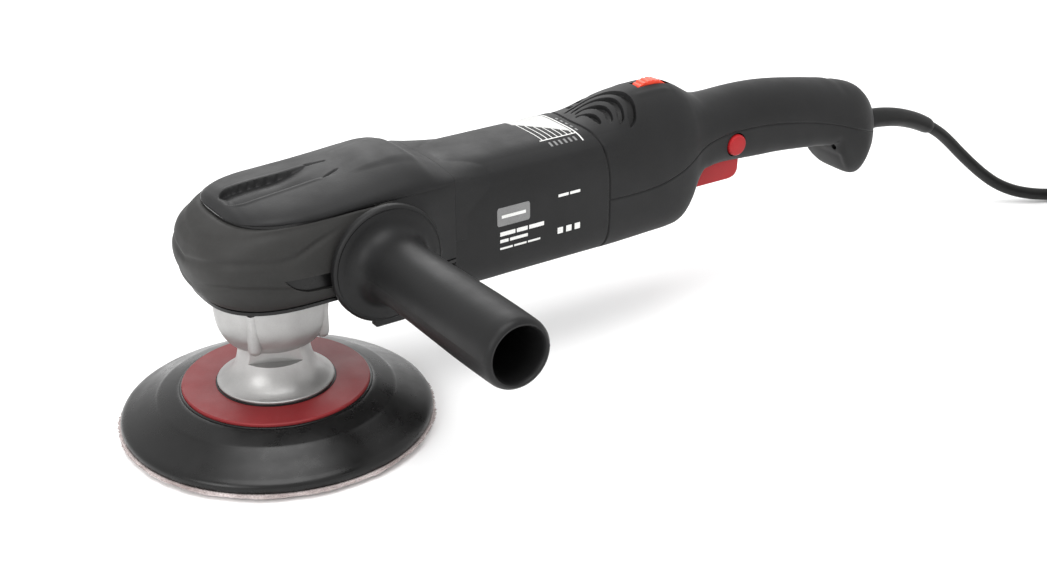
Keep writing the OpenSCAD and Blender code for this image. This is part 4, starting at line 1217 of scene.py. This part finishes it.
def slab(points, faces, place, u, v, nu, nv, lift=0.13, thick=0.25):
    """Adds a thin printed patch to points and faces. u and v are functions of two shares from 0 to 1."""
    start = len(points)
    for out in (lift, lift - thick):
        for i in range(nu + 1):
            for j in range(nv + 1):
                points.append(place(*(f(i / nu, j / nv) for f in (u, v)), out))
    m = (nu + 1) * (nv + 1)
    idx = lambda i, j, k: start + k * m + i * (nv + 1) + j
    for i in range(nu):
        for j in range(nv):
            faces.append((idx(i, j, 0), idx(i + 1, j, 0), idx(i + 1, j + 1, 0), idx(i, j + 1, 0)))
            faces.append((idx(i, j, 1), idx(i, j + 1, 1), idx(i + 1, j + 1, 1), idx(i + 1, j, 1)))
    for i in range(nu):
        for j in (0, nv):
            faces.append((idx(i, j, 0), idx(i, j, 1), idx(i + 1, j, 1), idx(i + 1, j, 0)))
    for j in range(nv):
        for i in (0, nu):
            faces.append((idx(i, j, 0), idx(i, j + 1, 0), idx(i, j + 1, 1), idx(i, j, 1)))


def block(place, x0, x1, v0, v1, lean=0.0, **kw):
    """A straight-sided printed patch, leaning like slanted print."""
    def add(points, faces):
        nv = max(1, int(abs(v1 - v0) / 1.2))
        slab(points, faces, place, lambda s, t: x0 + (x1 - x0) * s + lean * t,
             lambda s, t: v0 + (v1 - v0) * t, max(1, int(abs(x1 - x0) / 4)), nv, **kw)
    return add


def rounded_patch(place, x0, x1, v0, v1, r, **kw):
    """A printed patch with round corners."""
    def add(points, faces):
        def v(s, t):
            x = abs(s - 0.5) * (x1 - x0) - ((x1 - x0) / 2 - r)
            inset = r - math.sqrt(max(0.0, r * r - x * x)) if x > 0 else 0.0
            return (v0 + inset) + (v1 - v0 - 2 * inset) * t
        slab(points, faces, place, lambda s, t: x0 + (x1 - x0) * s, v, 40, 8, **kw)
    return add


def printed(name, mat, parts):
    points, faces = [], []
    for add in parts:
        add(points, faces)
    ob = piece(name, points, faces, "housing", "body_plastic")
    ob.data.materials.clear()
    ob.data.materials.append(mat)
    del ob["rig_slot"]
    return ob


def bar_row(x0, x1, v0, v1, sizes):
    """A line of plain blocks, one for each share of the line, with gaps between them."""
    total, x, parts, gap = sum(sizes), x0, [], 0.9
    for size in sizes:
        wide = (x1 - x0) * size / total
        parts.append(block(on_side, x, x + wide - gap, v0, v1))
        x += wide
    return parts


def make_side_print():
    """A plain grey plate with one bar, lines of plain blocks and a row of small squares on the near side."""
    printed("side_plate", GREY_INK, [rounded_patch(on_side, 108.0, 127.0, 85.2, 94.8, 1.2)])
    printed("side_plate_bar", WHITE_INK, [block(on_side, 110.5, 124.5, 89.2, 90.8, lift=0.22)])
    bars = bar_row(109.6, 136.2, 79.9, 82.0, [4, 3, 4])
    bars += bar_row(109.6, 126.6, 76.4, 78.0, [1, 2])
    bars += bar_row(109.6, 134.0, 72.8, 73.8, [3, 3, 3])
    bars += bar_row(144.0, 158.0, 92.6, 94.0, [1, 1])
    bars += [block(on_side, 143.6 + 5.2 * k, 146.8 + 5.2 * k, 73.0, 76.2) for k in range(3)]
    printed("side_bars", WHITE_INK, bars)


SCALE_FRONT, SCALE_LONG, SCALE_FAR = 143.2, 20.4, 17.5


def diagonal(x):
    """The slanted near edge of the silver field."""
    return 10.5 + (x - SCALE_FRONT) * (-12.6 - 10.5) / 20.0


def make_top_print():
    """A plain speed scale on top of the motor: a silver field, thin lines and short ticks."""
    along = lambda s, t: SCALE_FRONT + SCALE_LONG * s
    across = lambda s, t: diagonal(along(s, t)) + (SCALE_FAR - diagonal(along(s, t))) * t
    printed("scale_field", SILVER_INK, [lambda p, f: slab(p, f, on_top, along, across, 14, 16)])
    lines = []
    for k in range(7):
        x = 144.4 + 3.0 * k
        lines.append(block(on_top, x, x + 0.42, -15.2, diagonal(x + 0.4)))
    lines.append(block(on_top, 142.8, 164.6, -15.5, -14.9))
    lines.append(block(on_top, 164.3, 165.0, -23.6, 16.5))
    printed("scale_lines", WHITE_INK, lines)
    ticks = [block(on_top, 146.2 + 2.9 * k, 147.4 + 2.9 * k, -20.6, -17.6, -0.2) for k in range(6)]
    ticks += [block(on_top, 166.4, 167.3, -13.5 + 4.3 * k, -11.3 + 4.3 * k) for k in range(5)]
    printed("scale_ticks", GREY_INK, ticks)


# ---------- floor and light ----------

def make_floor():
    mesh = bpy.data.meshes.new("floor")
    half, z = 6, -0.0004
    corners = [(-half, -half, z), (half, -half, z), (half, half, z), (-half, half, z)]
    mesh.from_pydata(corners, [], [(0, 1, 2, 3)])
    floor = bpy.data.objects.new("floor", mesh)
    bpy.context.scene.collection.objects.link(floor)
    n = Nodes("floor_paper")
    base = n.mix(n.span(n.noise(9, 3), 0.3, 0.7, 0, 1), (0.90, 0.90, 0.90), (0.93, 0.93, 0.93))
    mesh.materials.append(n.finish(base, 0.75))


def area(name, place, look_at, size, power):
    data = bpy.data.lights.new(name, "AREA")
    data.shape, data.size, data.energy = "DISK", size, power
    lamp = bpy.data.objects.new(name, data)
    lamp.location = place
    lamp.rotation_euler = (Vector(look_at) - Vector(place)).to_track_quat("-Z", "Y").to_euler()
    bpy.context.scene.collection.objects.link(lamp)


def make_light():
    world = bpy.data.worlds.new("studio")
    bpy.context.scene.world = world
    bpy.context.scene.view_settings.view_transform = "Standard"
    world.use_nodes = True
    world.node_tree.nodes["Background"].inputs["Color"].default_value = (1, 1, 1, 1)
    world.node_tree.nodes["Background"].inputs["Strength"].default_value = 1.0
    area("soft_top", (-0.1, -0.2, 1.5), (0.15, 0, 0.05), 1.2, 16)
    area("soft_left", (-1.3, -0.5, 0.8), (0.1, 0, 0.08), 0.9, 9)
    area("soft_back", (0.6, 1.2, 0.9), (0.2, 0, 0.08), 0.9, 6)


make_camera()
cord, cord_line = make_cord()
dress_cad_nodes()
guard = make_guard()
strap = make_tie()
make_motor_housing()
make_rear_half(True)
make_rear_half(False)
make_bumper()
make_vent_shade_plates()
make_lid()
make_seam_shade_ring()
make_lid_joint_shade()
make_handle()
make_pad()
make_hooks()
make_hub()
make_flange()
make_lip()
make_trigger()
make_button()
make_dial()
make_side_print()
make_top_print()
make_floor()
make_light()
